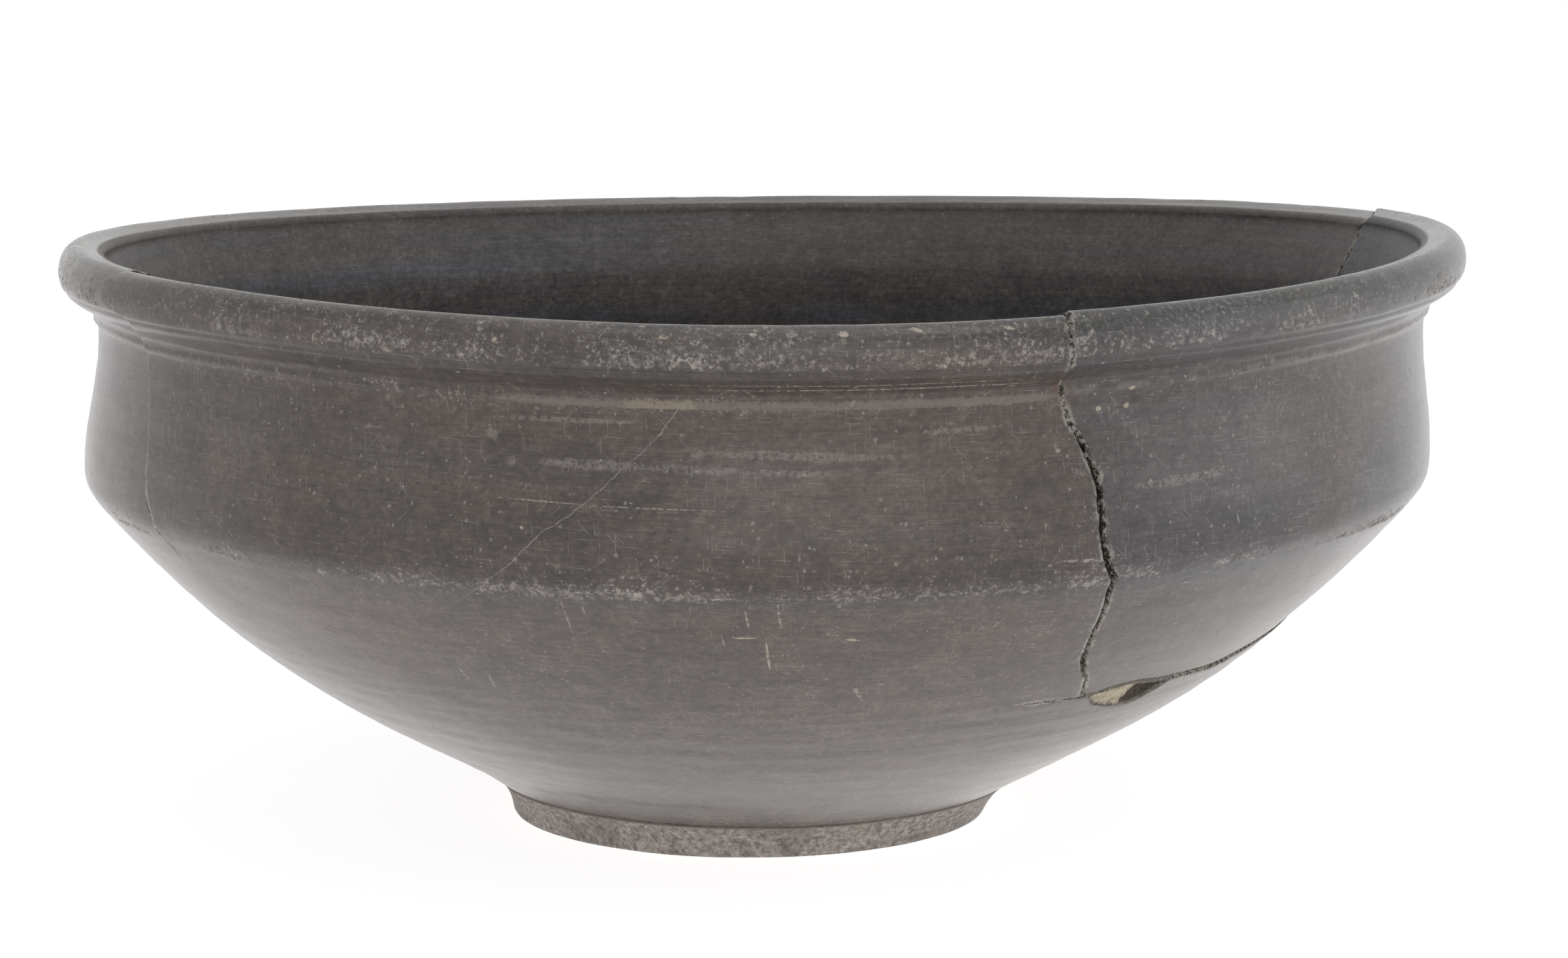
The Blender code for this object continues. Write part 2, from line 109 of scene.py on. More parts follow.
RIGHT_HALF_WIDTH = [(50.0, 0.2), (80.0, 0.35), (110.0, 0.38), (116.0, 0.2)]
LEFT_JOINT = [(-148.2, 115.4), (-150.1, 113.9), (-150.0, 109.6), (-147.2, 108.2), (-146.0, 106.8),
              (-148.3, 102.9), (-148.4, 96.0), (-147.7, 84.0), (-147.3, 75.1), (-146.6, 71.5),
              (-145.7, 63.6), (-145.3, 57.9)]
LEFT_HALF_WIDTH = [(50.0, 0.05), (60.0, 0.1), (110.0, 0.14), (116.0, 0.1)]
LOWER_CRACK = [(-64.2, 39.3), (-58.7, 39.3), (-54.7, 39.4), (-52.9, 39.0), (-50.6, 40.0), (-48.2, 40.5),
               (-43.4, 39.8), (-39.7, 39.6), (-35.0, 39.4), (-31.0, 39.7), (-27.3, 40.7), (-24.0, 41.6),
               (-20.0, 42.4), (-9.0, 45.2), (4.0, 48.8), (18.0, 52.2)]
LOWER_HALF_WIDTH = [(-64.2, 0.03), (-60.0, 0.1), (-56.0, 0.15), (-54.0, 0.05), (-53.0, 0.03), (-42.4, 0.04),
                    (-41.4, 0.2), (-30.0, 0.34), (-10.0, 0.3), (17.0, 0.25), (18.5, 0.0)]
FLAKE_LOW_SIDE = [(-53.4, 39.1), (-52.3, 37.6), (-51.1, 36.6), (-48.7, 35.6), (-45.5, 34.9), (-44.4, 35.2),
                  (-43.4, 35.9), (-42.8, 36.9), (-42.2, 38.2), (-41.6, 39.7)]
HAIRLINE = [(-96.0, 100.5), (-96.7, 98.1), (-98.1, 94.0), (-99.0, 91.7), (-100.7, 88.2), (-102.8, 83.3),
            (-105.0, 79.3), (-106.3, 77.7), (-107.4, 74.3), (-109.5, 70.0), (-111.9, 65.9),
            (-115.5, 61.5), (-120.7, 56.5)]
OPEN_DEPTH = 1.7 * MM
FLAKE_DEPTH = 1.5 * MM
CREAM_DEPTH = 0.45 * MM
CREAM_END = -46.3
CREAM_LEAN = 0.1

# Edges of the flake and the cracks, in degrees and mm: how far they wander, end and drop
FLAKE_FROM, FLAKE_TO = -53.5, -41.6
FLAKE_TOP = 60.0
FLAKE_RAGGED = 0.16
CRACK_WANDER = 0.13
LOWER_WANDER = 0.12
LOWER_CRACK_HEIGHTS = (28.0, 60.0)
WIDTH_CHANGE = 0.3
GROOVE_DROP = 0.24
WORN_EDGE_DEPTH = 0.11 * MM
WORN_EDGE_WIDTH = 0.5
NO_CRACK = 9.0

# Marks of the fingers, slow unevenness of the wall, and chips on the lip
FINGER_RIPPLE = 0.035 * MM
WALL_UNEVENNESS = 0.045 * MM
LIP_CHIP_DEPTH = 0.1 * MM
LIP_CHIPS_ABOVE = 106 * MM

# Sherds glued a little out of true
SHERD_LIFT = 0.75 * MM
SHERD_PROUD = 0.3 * MM
FRONT_SHERD_PROUD = 0.8 * MM
LEFT_SHERD_SUNK = 0.8 * MM
FRONT_SHERD_REACH = 14.0
LEFT_SHERD_REACH = 60.0
JOINT_BOTTOM = 52.0 * MM
JOINT_FADE = 12.0 * MM

# Finishes of the skin, in the order of its materials
GREY_WARE, SHADOWED_CRACK, BARE_CLAY, WORN_FOOT = range(4)

# How far each finish goes: the foot's past its edge, then mm from the edge of the flake or of a crack
FOOT_FINISH_REACH = 1.2 * MM
BARE_CLAY_FROM = -0.3
CRACK_SHADE_REACH = 0.12
CRACK_SHADE_TO_FLAKE = -0.9

# Grid
COLUMN_STEP = 1.7
BEND_REACH = 22.0
ROW_REACH = 32.0 * MM
CRACK_OFFSETS = np.array([0.0, 0.14, 0.24, 0.32, 0.4, 0.48, 0.57, 0.68, 0.85, 1.15, 1.6, 2.3, 3.2])
LEAST_GAP = 0.035
ROUND_SCALE = 130.0 * MM
RAMP_LENGTH = 0.42

# Marks: azimuth and height in mm of both ends, and half of the width in mm
LIGHT_MARKS = [(-109.4, 83.6, -102.5, 83.2, 0.14), (-102.4, 83.1, -92.8, 82.8, 0.12),
               (-90.8, 64.5, -90.4, 59.3, 0.2), (-92.7, 59.1, -92.3, 55.8, 0.16),
               (-88.4, 66.3, -87.9, 60.2, 0.22), (-104.9, 66.3, -104.8, 57.7, 0.14),
               (-103.3, 64.5, -103.2, 62.0, 0.14), (-114.8, 47.3, -115.2, 43.2, 0.3),
               (-117.7, 48.6, -117.4, 44.6, 0.3), (-101.4, 19.6, -105.6, 15.9, 0.18),
               (-105.6, 15.9, -112.2, 10.1, 0.16), (-50.7, 76.2, -50.3, 72.9, 0.14),
               (-51.1, 57.9, -50.3, 58.2, 0.28), (-54.1, 63.7, -53.4, 63.7, 0.25),
               (-52.6, 65.2, -52.0, 65.4, 0.22), (-51.1, 54.0, -50.4, 54.2, 0.22),
               (-49.0, 52.0, -48.5, 52.3, 0.24), (-47.6, 50.6, -47.1, 50.8, 0.22),
               (-45.9, 49.3, -45.6, 49.6, 0.22), (-70.7, 58.3, -69.9, 60.9, 0.16),
               (-81.0, 47.0, -79.8, 43.4, 0.45), (-96.0, 104.2, -68.0, 104.2, 0.24),
               (-97.0, 105.2, -69.0, 105.1, 0.16), (-66.4, 90.2, -66.1, 90.2, 0.25),
               (-66.9, 71.9, -62.3, 71.3, 0.3), (-63.4, 39.4, -58.6, 40.2, 0.5),
               (-55.2, 38.9, -56.4, 43.0, 0.35)]
FAINT_MARKS = [(-106.4, 90.3, -98.0, 90.0, 0.95), (-98.6, 90.0, -90.6, 89.7, 0.8),
               (-91.0, 89.6, -84.0, 89.1, 0.6), (-94.8, 92.8, -79.6, 91.8, 0.8),
               (-110.7, 94.7, -110.0, 94.7, 1.1), (-109.0, 90.0, -108.4, 90.0, 0.9),
               (-95.0, 92.6, -94.0, 92.6, 1.1), (-110.0, 97.6, -99.0, 97.9, 0.5),
               (-78.0, 96.0, -72.0, 96.4, 0.6), (-90.2, 70.4, -90.6, 67.9, 0.3),
               (-60.5, 83.0, -51.0, 83.8, 0.9), (-66.0, 88.0, -64.6, 86.6, 0.5)]
CREAM_MARKS = [(-89.1, 57.7, -88.6, 50.6, 0.24), (-91.5, 58.3, -90.1, 58.3, 0.25),
               (-82.8, 57.9, -81.4, 57.5, 0.34), (-104.7, 79.3, -104.3, 79.2, 0.35),
               (-107.7, 78.7, -107.4, 78.6, 0.3), (-83.5, 101.0, -83.0, 101.9, 0.35),
               (-94.9, 102.0, -94.8, 101.0, 0.4), (-64.4, 102.0, -64.1, 102.0, 0.35),
               (-61.2, 100.8, -60.5, 100.8, 0.5), (-63.9, 97.4, -63.4, 97.4, 0.45),
               (-61.4, 97.5, -60.9, 97.5, 0.4), (-67.1, 91.4, -66.9, 91.4, 0.4),
               (-90.9, 114.4, -89.8, 113.6, 0.4), (-84.7, 114.5, -83.9, 114.0, 0.6),
               (-97.1, 113.8, -96.5, 113.5, 0.4), (-109.1, 111.9, -108.7, 111.9, 0.5),
               (-79.6, 114.9, -78.6, 114.3, 0.45), (-72.8, 114.6, -71.9, 114.2, 0.4)]
FOOT_MARKS = [(-118.0, 6.2, -115.2, 5.0, 0.7), (-111.1, 3.6, -107.8, 3.8, 0.6),
              (-65.4, 1.7, -64.2, 1.2, 0.35)]

# Fine scratches: heading in radians, length, and the share of places that has one
SCRATCH_HEADINGS = [(0.06, 5 * MM, 0.34), (1.5, 3.6 * MM, 0.24), (0.8, 5 * MM, 0.08), (2.3, 5 * MM, 0.08)]

# Colours, as shares of light sent back
BROWN_CLAY = (0.106, 0.088, 0.076, 1.0)
BLUE_CLAY = (0.086, 0.083, 0.091, 1.0)
WARM_CLAY = (0.112, 0.086, 0.07, 1.0)
SMOKE = (0.034, 0.038, 0.033, 1.0)
DULL_BLOOM = (0.21, 0.197, 0.184, 1.0)
BRIGHT_BLOOM = (0.5, 0.47, 0.44, 1.0)
FLECK = (0.34, 0.32, 0.30, 1.0)
WORN_LEDGE = (0.225, 0.205, 0.182, 1.0)
CREAMY_LEDGE = (0.34, 0.3, 0.22, 1.0)
SCRATCH = (0.32, 0.305, 0.29, 1.0)
LIGHT_MARK = (0.46, 0.43, 0.4, 1.0)
CREAM_MARK = (0.52, 0.46, 0.37, 1.0)
PIT = (0.03, 0.027, 0.024, 1.0)
CRACK_EDGE = (0.38, 0.36, 0.325, 1.0)
RUST_STAIN = (0.125, 0.068, 0.04, 1.0)
JOINT_LINE = (0.045, 0.033, 0.026, 1.0)
# Near-black painted shadow in the deep gap of a crack
CRACK_SHADOW = (0.006, 0.0055, 0.005, 1.0)
CRACK_EARTH = (0.05, 0.043, 0.03, 1.0)
PALE_CRUMB = (0.5, 0.47, 0.4, 1.0)
OLIVE_CRUMB = (0.27, 0.24, 0.16, 1.0)
PALE_ASH = (0.42, 0.4, 0.36, 1.0)
DARK_ASH = (0.11, 0.105, 0.094, 1.0)
DULL_CREAM = (0.36, 0.315, 0.225, 1.0)
BRIGHT_CREAM = (0.8, 0.725, 0.575, 1.0)
STAINED_CREAM = (0.27, 0.225, 0.135, 1.0)
CREAM_HOLE = (0.13, 0.115, 0.08, 1.0)
BURNT_CLAY = (0.03, 0.026, 0.02, 1.0)
BURNT_GRAIN = (0.135, 0.117, 0.088, 1.0)
BURNT_CRUMB = (0.23, 0.21, 0.175, 1.0)
FLAKE_EDGE = (0.3, 0.28, 0.255, 1.0)
FOOT_DARK = (0.1, 0.09, 0.083, 1.0)
FOOT_PALE = (0.6, 0.545, 0.51, 1.0)
FOOT_CHIP = (0.1, 0.098, 0.092, 1.0)
FOOT_PATCH = (0.36, 0.315, 0.25, 1.0)
FOOT_CRUMB = (0.38, 0.35, 0.31, 1.0)
FOOT_SPOT = (0.52, 0.47, 0.35, 1.0)
FLOOR_MATT = (0.62, 0.6, 0.6, 1.0)
FLOOR_TINT = (1.0, 0.955, 0.94, 1.0)
WHITE = (1.0, 1.0, 1.0, 1.0)

# Light: lamps are (name, place, width, watts)
FLOOR_GLOW = 0.68
FLOOR_WHITE = 0.85
FLOOR_SIZE = 6.0
FLOOR_DROP = 0.0002
ROOM_LIGHT = 0.34
LAMP_AIM_HEIGHT = 0.06
LAMPS = [("top_lamp", (0.1, -0.3, 1.1), 0.9, 2.5), ("left_lamp", (-1.0, -0.3, 0.2), 0.8, 0.35),
         ("right_lamp", (1.0, -0.2, 0.3), 0.8, 1.8), ("front_lamp", (0.2, -1.3, 0.12), 0.9, 2.2)]

# Camera: focal length and sensor in mm, place, and degrees down, right and rolled
LENS = 94.57
SENSOR = 36.0
CAMERA_PLACE = (-0.0009, -0.826, 0.19148)
CAMERA_ANGLES = [8.569, 0.370, 0.10]


def direction(angle):
    """Unit vector in the section: cosine and sine of an angle in degrees above the outward radius."""
    return np.array([np.cos(np.radians(angle)), np.sin(np.radians(angle))])


def ease(value):
    """Even step: 3 v squared less 2 v cubed, with v held between 0 and 1."""
    value = np.clip(value, 0.0, 1.0)
    return value * value * (3 - 2 * value)


def hump(value):
    """Level-topped hump: the square of 1 less v squared, and 0 past v = 1."""
    return np.clip(1 - value ** 2, 0.0, None) ** 2


def along(path, values, key=1):
    """Straight-line reading of a path: its azimuth at heights, or its height at azimuths for key 0."""
    path = sorted(path, key=lambda point: point[key])
    return np.interp(values, [point[key] for point in path], [point[1 - key] for point in path])


def waves(places, first_length, last_length, count, seed):
    """Sum of sine waves of even strength, lengths spaced by ratio between two, phases from a seed."""
    rng = np.random.default_rng(seed)
    total = 0.0
    for length in np.geomspace(first_length, last_length, count):
        total = total + np.sin(2 * np.pi * (places / length + rng.random()))
    return total / np.sqrt(count)


def rough(azimuths, lengths, first_length, last_length, count, seed):
    """Field of crossed waves over the skin: each is a sine of (whole turns, metres), random heading."""
    rng = np.random.default_rng(seed)
    total = 0.0
    for length in np.geomspace(first_length, last_length, count):
        heading = 2 * np.pi * rng.random()
        turns = np.round(2 * np.pi * ROUND_SCALE * np.cos(heading) / length)
        total = total + np.sin(np.radians(azimuths) * turns
                               + 2 * np.pi * (lengths * np.sin(heading) / length + rng.random()))
    return total / np.sqrt(count)


def curve(first, first_handle, second_handle, last):
    """Cubic curve between two points of the section, drawn towards two handles."""
    t = np.linspace(0.0, 1.0, 160)[:, None]
    return ((1 - t) ** 3 * first + 3 * (1 - t) ** 2 * t * first_handle
            + 3 * (1 - t) * t ** 2 * second_handle + t ** 3 * last)


def line(first, last):
    """Straight stretch from one point of the section to another."""
    t = np.linspace(0.0, 1.0, 60)[:, None]
    return (1 - t) * np.asarray(first) + t * np.asarray(last)


def arc(middle, half_sizes, first_angle, last_angle):
    """Oval stretch: middle plus half width times cosine and half height times sine of the angle."""
    angles = np.radians(np.linspace(first_angle, last_angle, 90))
    return middle + np.stack([np.cos(angles), np.sin(angles)], axis=1) * half_sizes


def section():
    """Stretches of (radius, height) from under the middle, over the lip, to the middle of the floor.

    Beside each stands the spacing of the rows on it in mm.
    """
    recess_edge = FOOT_RADIUS - RING_WIDTH
    foot_top = np.array([FOOT_RADIUS + FOOT_FLARE, FOOT_HEIGHT])
    wall_start = foot_top + FOOT_STEP
    shoulder = BEND + SHOULDER
    waist = shoulder + WAIST
    neck = waist + NECK
    lip_out = np.array([LIP_RADIUS, neck[1] + LIP_RISE])
    lip_under = lip_out + LIP_ROUND * (direction(-45) - direction(0))
    crest = lip_out + CREST
    inner_middle = np.array([LIP_RADIUS - LIP_WIDTH + LIP_INNER_ROUND,
                             crest[1] - LIP_INNER_DROP - LIP_INNER_ROUND])
    inner_top = inner_middle + LIP_INNER_ROUND * direction(96)
    inner_edge = inner_middle + LIP_INNER_ROUND * direction(205)
    inner_waist = waist - [NECK_WALL, 0.0]
    inner_shoulder = shoulder + [-LOWER_WALL, 0.15 * WAIST[1]]
    inner_bend = BEND + LOWER_WALL * direction(SLOPE_AT_BEND + 90)
    inner_foot = wall_start + FOOT_WALL * direction(SLOPE_AT_FOOT + 90)
    share = np.linalg.norm(inner_bend - inner_foot) / np.linalg.norm(BEND - wall_start)
    rise = NECK[1] + LIP_RISE
    return {
        "recess": (line((0.0, RECESS_DEPTH), (recess_edge - RECESS_SLOPE, RECESS_DEPTH)), 7.0),
        "recess_side": (line((recess_edge - RECESS_SLOPE, RECESS_DEPTH), (recess_edge, 0.0)), 1.2),
        "standing_ring": (line((recess_edge, 0.0), (FOOT_RADIUS, 0.0)), 1.6),
        "foot_side": (curve([FOOT_RADIUS, 0.0], [FOOT_RADIUS + 0.15 * FOOT_FLARE, 0.38 * FOOT_HEIGHT],
                            [FOOT_RADIUS + 0.6 * FOOT_FLARE, 0.78 * FOOT_HEIGHT], foot_top), 0.7),
        "foot_edge": (curve(foot_top, foot_top + 0.1 * FOOT_STEP + [0.0, 0.3 * FOOT_STEP[1]],
                            wall_start - 0.6 * FOOT_STEP[0] * direction(SLOPE_AT_FOOT), wall_start), 0.6),
        "lower_wall": (curve(wall_start, wall_start + PULL_AT_FOOT * direction(SLOPE_AT_FOOT),
                             BEND - PULL_AT_BEND * direction(SLOPE_AT_BEND), BEND), 1.4),
        "bend": (curve(BEND, BEND + 0.9 * SHOULDER[0] * direction(SLOPE_AT_BEND),
                       shoulder - [0.0, 0.43 * SHOULDER[1]], shoulder), 0.8),
        "shoulder": (curve(shoulder, shoulder + [0.4 * MM, 0.31 * WAIST[1]],
                           waist - [0.2 * MM, 0.37 * WAIST[1]], waist), 1.15),
        "neck": (curve(waist, waist + [0.0, 0.45 * NECK[1]],
                       neck - 0.3 * NECK[1] * direction(70), neck), 0.32),
        "under_lip": (curve(neck, neck + 0.25 * LIP_RISE * direction(50),
                            lip_under - 0.3 * LIP_RISE * direction(45), lip_under), 0.6),
        "lip_low": (arc(lip_out - [LIP_ROUND, 0.0], LIP_ROUND, -45, 0), 0.4),
        "lip_high": (arc(lip_out + [CREST[0], 0.0], (-CREST[0], CREST[1]), 0, 90), 0.6),
        "lip_top": (line(crest, inner_top), 0.8),
        "lip_inner_edge": (arc(inner_middle, LIP_INNER_ROUND, 96, 205), 0.5),
        "inner_neck": (curve(inner_edge, inner_edge + 0.3 * rise * direction(238),
                             inner_waist + [0.0, 0.35 * rise], inner_waist), 1.2),
        "inner_shoulder": (curve(inner_waist, inner_waist - [0.0, 0.4 * WAIST[1]],
                                 inner_shoulder + [0.0, 0.35 * WAIST[1]], inner_shoulder), 1.8),
        "inner_bend": (curve(inner_shoulder, inner_shoulder - [0.0, 0.6 * SHOULDER[1]],
                             inner_bend + 0.1 * SHOULDER[1] * direction(SLOPE_AT_BEND), inner_bend), 1.3),
        "inner_wall": (curve(inner_bend, inner_bend - share * PULL_AT_BEND * direction(SLOPE_AT_BEND),
                             inner_foot + share * PULL_AT_FOOT * direction(SLOPE_AT_FOOT),
                             inner_foot), 3.2),
        "floor": (curve(inner_foot, inner_foot - 0.2 * inner_foot[0] * direction(SLOPE_AT_FOOT),
                        [0.5 * inner_foot[0], FLOOR_HEIGHT], np.array([0.0, FLOOR_HEIGHT])), 5.0),
    }


class Section:
    """The section as one line, read at its length in metres from the middle of the underside."""

    def __init__(self):
        """Join the stretches end to end: the length is the running sum of the distances of the points."""
        self.stretches = section()
        points, spacing, self.starts = [], [], {}
        length = 0.0
        for name, (stretch, step) in self.stretches.items():
            self.starts[name] = length
            steps = np.linalg.norm(np.diff(stretch, axis=0), axis=1)
            points.append(stretch[:-1])
            spacing.append(np.full(len(stretch) - 1, step * MM))
            length += steps.sum()
            self.starts[name + " end"] = length
        points.append(stretch[-1:])
        points = np.concatenate(points)
        spacing = np.concatenate(spacing + [spacing[-1][-1:]])
        lengths = np.concatenate([[0.0], np.cumsum(np.linalg.norm(np.diff(points, axis=0), axis=1))])
        # Even steps, then worn corners: a running mean whose window is 0.9 mm
        self.lengths = np.linspace(0.0, lengths[-1], 3200)
        radius, height, self.spacing = (np.interp(self.lengths, lengths, values)
                                        for values in (points[:, 0], points[:, 1], spacing))
        half = int(0.45 * MM / (self.lengths[1] - self.lengths[0]))
        window = np.hanning(2 * half + 3)[1:-1]
        window /= window.sum()
        padded = [np.concatenate([2 * v[0] - v[half:0:-1], v, 2 * v[-1] - v[-2:-half - 2:-1]])
                  for v in (radius, height)]
        self.radius, self.height = (np.convolve(v, window, "valid") for v in padded)
        out, up = np.gradient(self.height), -np.gradient(self.radius)
        size = np.hypot(out, up)
        self.out, self.up = out / size, up / size

    def at(self, lengths):
        """Radius, height and the outward normal's two parts, read at lengths along the section."""
        return [np.interp(lengths, self.lengths, values)
                for values in (self.radius, self.height, self.out, self.up)]

    def on_wall(self, heights):
        """Length along the section at which the outside of the lower wall reaches heights in metres."""
        inside = (self.lengths >= self.starts["lower_wall"]) & (self.lengths <= self.starts["lip_top"])
        return np.interp(heights, self.height[inside], self.lengths[inside])

    def marks(self):
        """Starts and ends of the stretches by name, and the lengths at the bend, ledge and lip's crease."""
        end = {name[:-4]: at for name, at in self.starts.items() if name.endswith(" end")}
        crease = self.starts["lip_low"] + LIP_CREASE_AT + LIP_CREASE_FOOT
        return self.starts, end, end["lower_wall"], self.starts["neck"] + LEDGE_RISE, crease

    def through(self, lengths):
        """The place on the inner wall that lies behind a place on the lower wall, by equal shares."""
        share = ((lengths - self.starts["lower_wall"])
                 / (self.starts["lower_wall end"] - self.starts["lower_wall"]))
        return (self.starts["inner_wall end"]
                - share * (self.starts["inner_wall end"] - self.starts["inner_wall"]))


def crack_middle(path):
    """Azimuth half-way between the extremes of an upright crack."""
    azimuths = [point[0] for point in path]
    return 0.5 * (min(azimuths) + max(azimuths))


def column_azimuths():
    """Azimuths of the columns: every COLUMN_STEP degrees, and close ones beside cracks and in the flake.

    Close ones stand at the crack's middle plus CRACK_OFFSETS, turned from mm into degrees at the bend.
    """
    offsets = np.degrees(np.concatenate([-CRACK_OFFSETS[:0:-1], CRACK_OFFSETS]) * MM / BEND[0])
    fine = [crack_middle(path) + offsets * width
            for path, width in ((FRONT_CRACK, 1.0), (RIGHT_CRACK, 0.9), (LEFT_JOINT, 0.6))]
    starts = crack_middle(FRONT_CRACK) + np.linspace(-BEND_REACH, BEND_REACH, 400)
    ends = starts + (FRONT_CRACK[-1][0] - crack_middle(FRONT_CRACK)) * hump(
        (starts - crack_middle(FRONT_CRACK)) / BEND_REACH)
    fine.append(np.interp(np.arange(-53.6, -41.0, 0.42), ends, starts))
    fine = np.sort(np.concatenate(fine))
    even = np.arange(-180.0, 180.0 - 0.5 * COLUMN_STEP, COLUMN_STEP)
    even = even[np.abs(even[:, None] - fine[None, :]).min(axis=1) > 0.45 * COLUMN_STEP]
    every = np.sort(np.concatenate([fine, even]))
    return every[np.concatenate([[True], np.diff(every) > LEAST_GAP])]


def row_lengths(bowl, crack_at):
    """Lengths of the rows: steps by each stretch's own spacing, and close ones beside the lower crack.

    Even steps are read off the running sum of length over spacing. A row too near its neighbour goes.
    """
    counted = np.concatenate([[0.0], np.cumsum(np.diff(bowl.lengths) / bowl.spacing[:-1])])
    even = np.interp(np.arange(1.0, counted[-1] - 0.5), counted, bowl.lengths)
    offsets = np.concatenate([-CRACK_OFFSETS[:0:-1], CRACK_OFFSETS]) * MM
    inner = bowl.through(crack_at)
    flake = crack_at - np.arange(0.6, 9.5, 0.55) * MM
    fine = np.concatenate([crack_at + offsets[4:-4], inner + offsets[6:-6], flake])
    even = even[np.abs(even[:, None] - fine[None, :]).min(axis=1) > 0.4 * MM]
    every = np.sort(np.concatenate([fine, even]))
    return every[np.concatenate([[True], np.diff(every) > 0.03 * MM])]


def skin():
    """Points of the skin on a grid of columns and rows, and what the finish needs to know of each.

    A point lies at radius times cosine and sine of its azimuth, and at its height. Radius and height are
    the section's at the point's length, less its depth times the outward normal. The depth is the
    greatest of the grooves of the cracks and the hollow of the flake, less the ledge, plus the crease
    and the ripples. A sherd adds its rise and its shift, the rim adds a sum of sines of one, two and
    three turns, and the axis wanders by a straight-line reading over the height.
    """
    bowl = Section()
    azimuths = column_azimuths()
    # Where the lower crack runs, each column has been turned by the upright ones
    at_crack = azimuths + sum((along(path, LOWER_CRACK[0][1]) - crack_middle(path))
                              * hump((azimuths - crack_middle(path)) / BEND_REACH)
                              for path in (FRONT_CRACK, RIGHT_CRACK, LEFT_JOINT))
    lower_heights = along(LOWER_CRACK, at_crack, 0) * MM
    # Past the ends of the lower crack its line goes on round the back at an even slope
    back = (azimuths > LOWER_CRACK[-1][0]) | (azimuths < LOWER_CRACK[0][0])
    span = 360.0 - (LOWER_CRACK[-1][0] - LOWER_CRACK[0][0])
    share = ((azimuths - LOWER_CRACK[-1][0]) % 360.0) / span
    round_back = LOWER_CRACK[-1][1] + (LOWER_CRACK[0][1] - LOWER_CRACK[-1][1]) * share
    lower_heights = np.where(back, round_back * MM, lower_heights)
    crack_at = bowl.on_wall(45.0 * MM)
    rows = row_lengths(bowl, crack_at)

    # Rows bend along the lower crack
    shift = bowl.on_wall(lower_heights) - crack_at
    near = hump((rows - crack_at) / ROW_REACH)
    near_inner = hump((rows - bowl.through(crack_at)) / ROW_REACH)
    on_inner = bowl.through(crack_at + shift) - bowl.through(crack_at)
    lengths = rows + shift[:, None] * near + on_inner[:, None] * near_inner
    radius, height, out, up = bowl.at(lengths)

    # Columns bend along the upright cracks, and keep their distance from one in mm at any radius
    turned = np.tile(azimuths[:, None], (1, len(rows)))
    on_wall = ease((height - FLOOR_HEIGHT) / (LOWER_CRACK[0][1] * MM - FLOOR_HEIGHT))
    for path in (FRONT_CRACK, RIGHT_CRACK, LEFT_JOINT):
        middle = crack_middle(path)
        off = (azimuths - middle)[:, None]
        turned += (along(path, height / MM) - middle) * hump(off / BEND_REACH) * on_wall
        turned += off * (BEND[0] / np.maximum(radius, 60 * MM) - 1) * hump(off / 4.0)

    # Gap to each crack in mm, measured across it on the skin, with the small turns of a real break
    inside = lengths > bowl.starts["lip_top end"]
    per_degree = np.radians(1.0) * radius / MM
    h = height / MM
    gaps, halves = {}, {}
    for name, path, widths, seed in (("front", FRONT_CRACK, FRONT_HALF_WIDTH, 3),
                                     ("right", RIGHT_CRACK, RIGHT_HALF_WIDTH, 13),
                                     ("left", LEFT_JOINT, LEFT_HALF_WIDTH, 23)):
        gap = (turned - along(path, h)) * per_degree
        gap = gap + CRACK_WANDER * waves(h, 9.0, 1.3, 8, seed)
        side = np.where(gap < 0, waves(h, 5.0, 0.7, 9, seed + 1), waves(h, 5.0, 0.7, 9, seed + 2))
        gaps[name] = gap
        halves[name] = along(widths, h, 0) * (1 + WIDTH_CHANGE * side)
    lower_at = bowl.on_wall(along(LOWER_CRACK, turned, 0) * MM)
    lower_gap = np.where(inside, bowl.through(lower_at) - lengths, lengths - lower_at) / MM
    lower_gap = lower_gap + LOWER_WANDER * waves(turned * 1.7, 9.0, 1.3, 8, 33)
    side = np.where(lower_gap < 0, waves(turned * 1.7, 5.0, 0.7, 9, 34),
                    waves(turned * 1.7, 5.0, 0.7, 9, 35))
    lower_half = along(LOWER_HALF_WIDTH, turned, 0) * (1 + WIDTH_CHANGE * side)

    above_lower = (lower_gap > -0.3) & (h > 30.0)
    edge = {name: np.abs(gaps[name]) - halves[name] for name in gaps}
    edge["front"] = np.where(above_lower, edge["front"], NO_CRACK)
    edge["right"] = np.where(above_lower, edge["right"], NO_CRACK)
    edge["left"] = edge["left"] + NO_CRACK * (1 - ease((height - JOINT_BOTTOM) / JOINT_FADE))
    reach = (turned > LOWER_CRACK[0][0]) & (turned < LOWER_CRACK[-1][0] + 0.3)
    reach = reach & (h > LOWER_CRACK_HEIGHTS[0]) & (h < LOWER_CRACK_HEIGHTS[1])
    edge["lower"] = np.where(reach, np.abs(lower_gap) - lower_half, NO_CRACK)
    halves["lower"] = lower_half

    # Each groove drops over GROOVE_DROP mm inside its worn edge, and a wider one is deeper
    floor_of_crack = np.clip(0.85 + 0.4 * rough(turned, lengths, 9 * MM, 1.2 * MM, 9, 41), 0.3, 1.3)
    depth = np.zeros_like(radius)
    for name in edge:
        deep = np.minimum(OPEN_DEPTH, 5.2 * MM * np.clip(halves[name] - 0.06, 0.02, None)) * floor_of_crack
        depth = np.maximum(depth, deep * ease(-edge[name] / GROOVE_DROP))
        worn = WORN_EDGE_DEPTH * ease(1 - edge[name] / WORN_EDGE_WIDTH)
        depth = np.maximum(depth, worn * (halves[name] > 0.1))

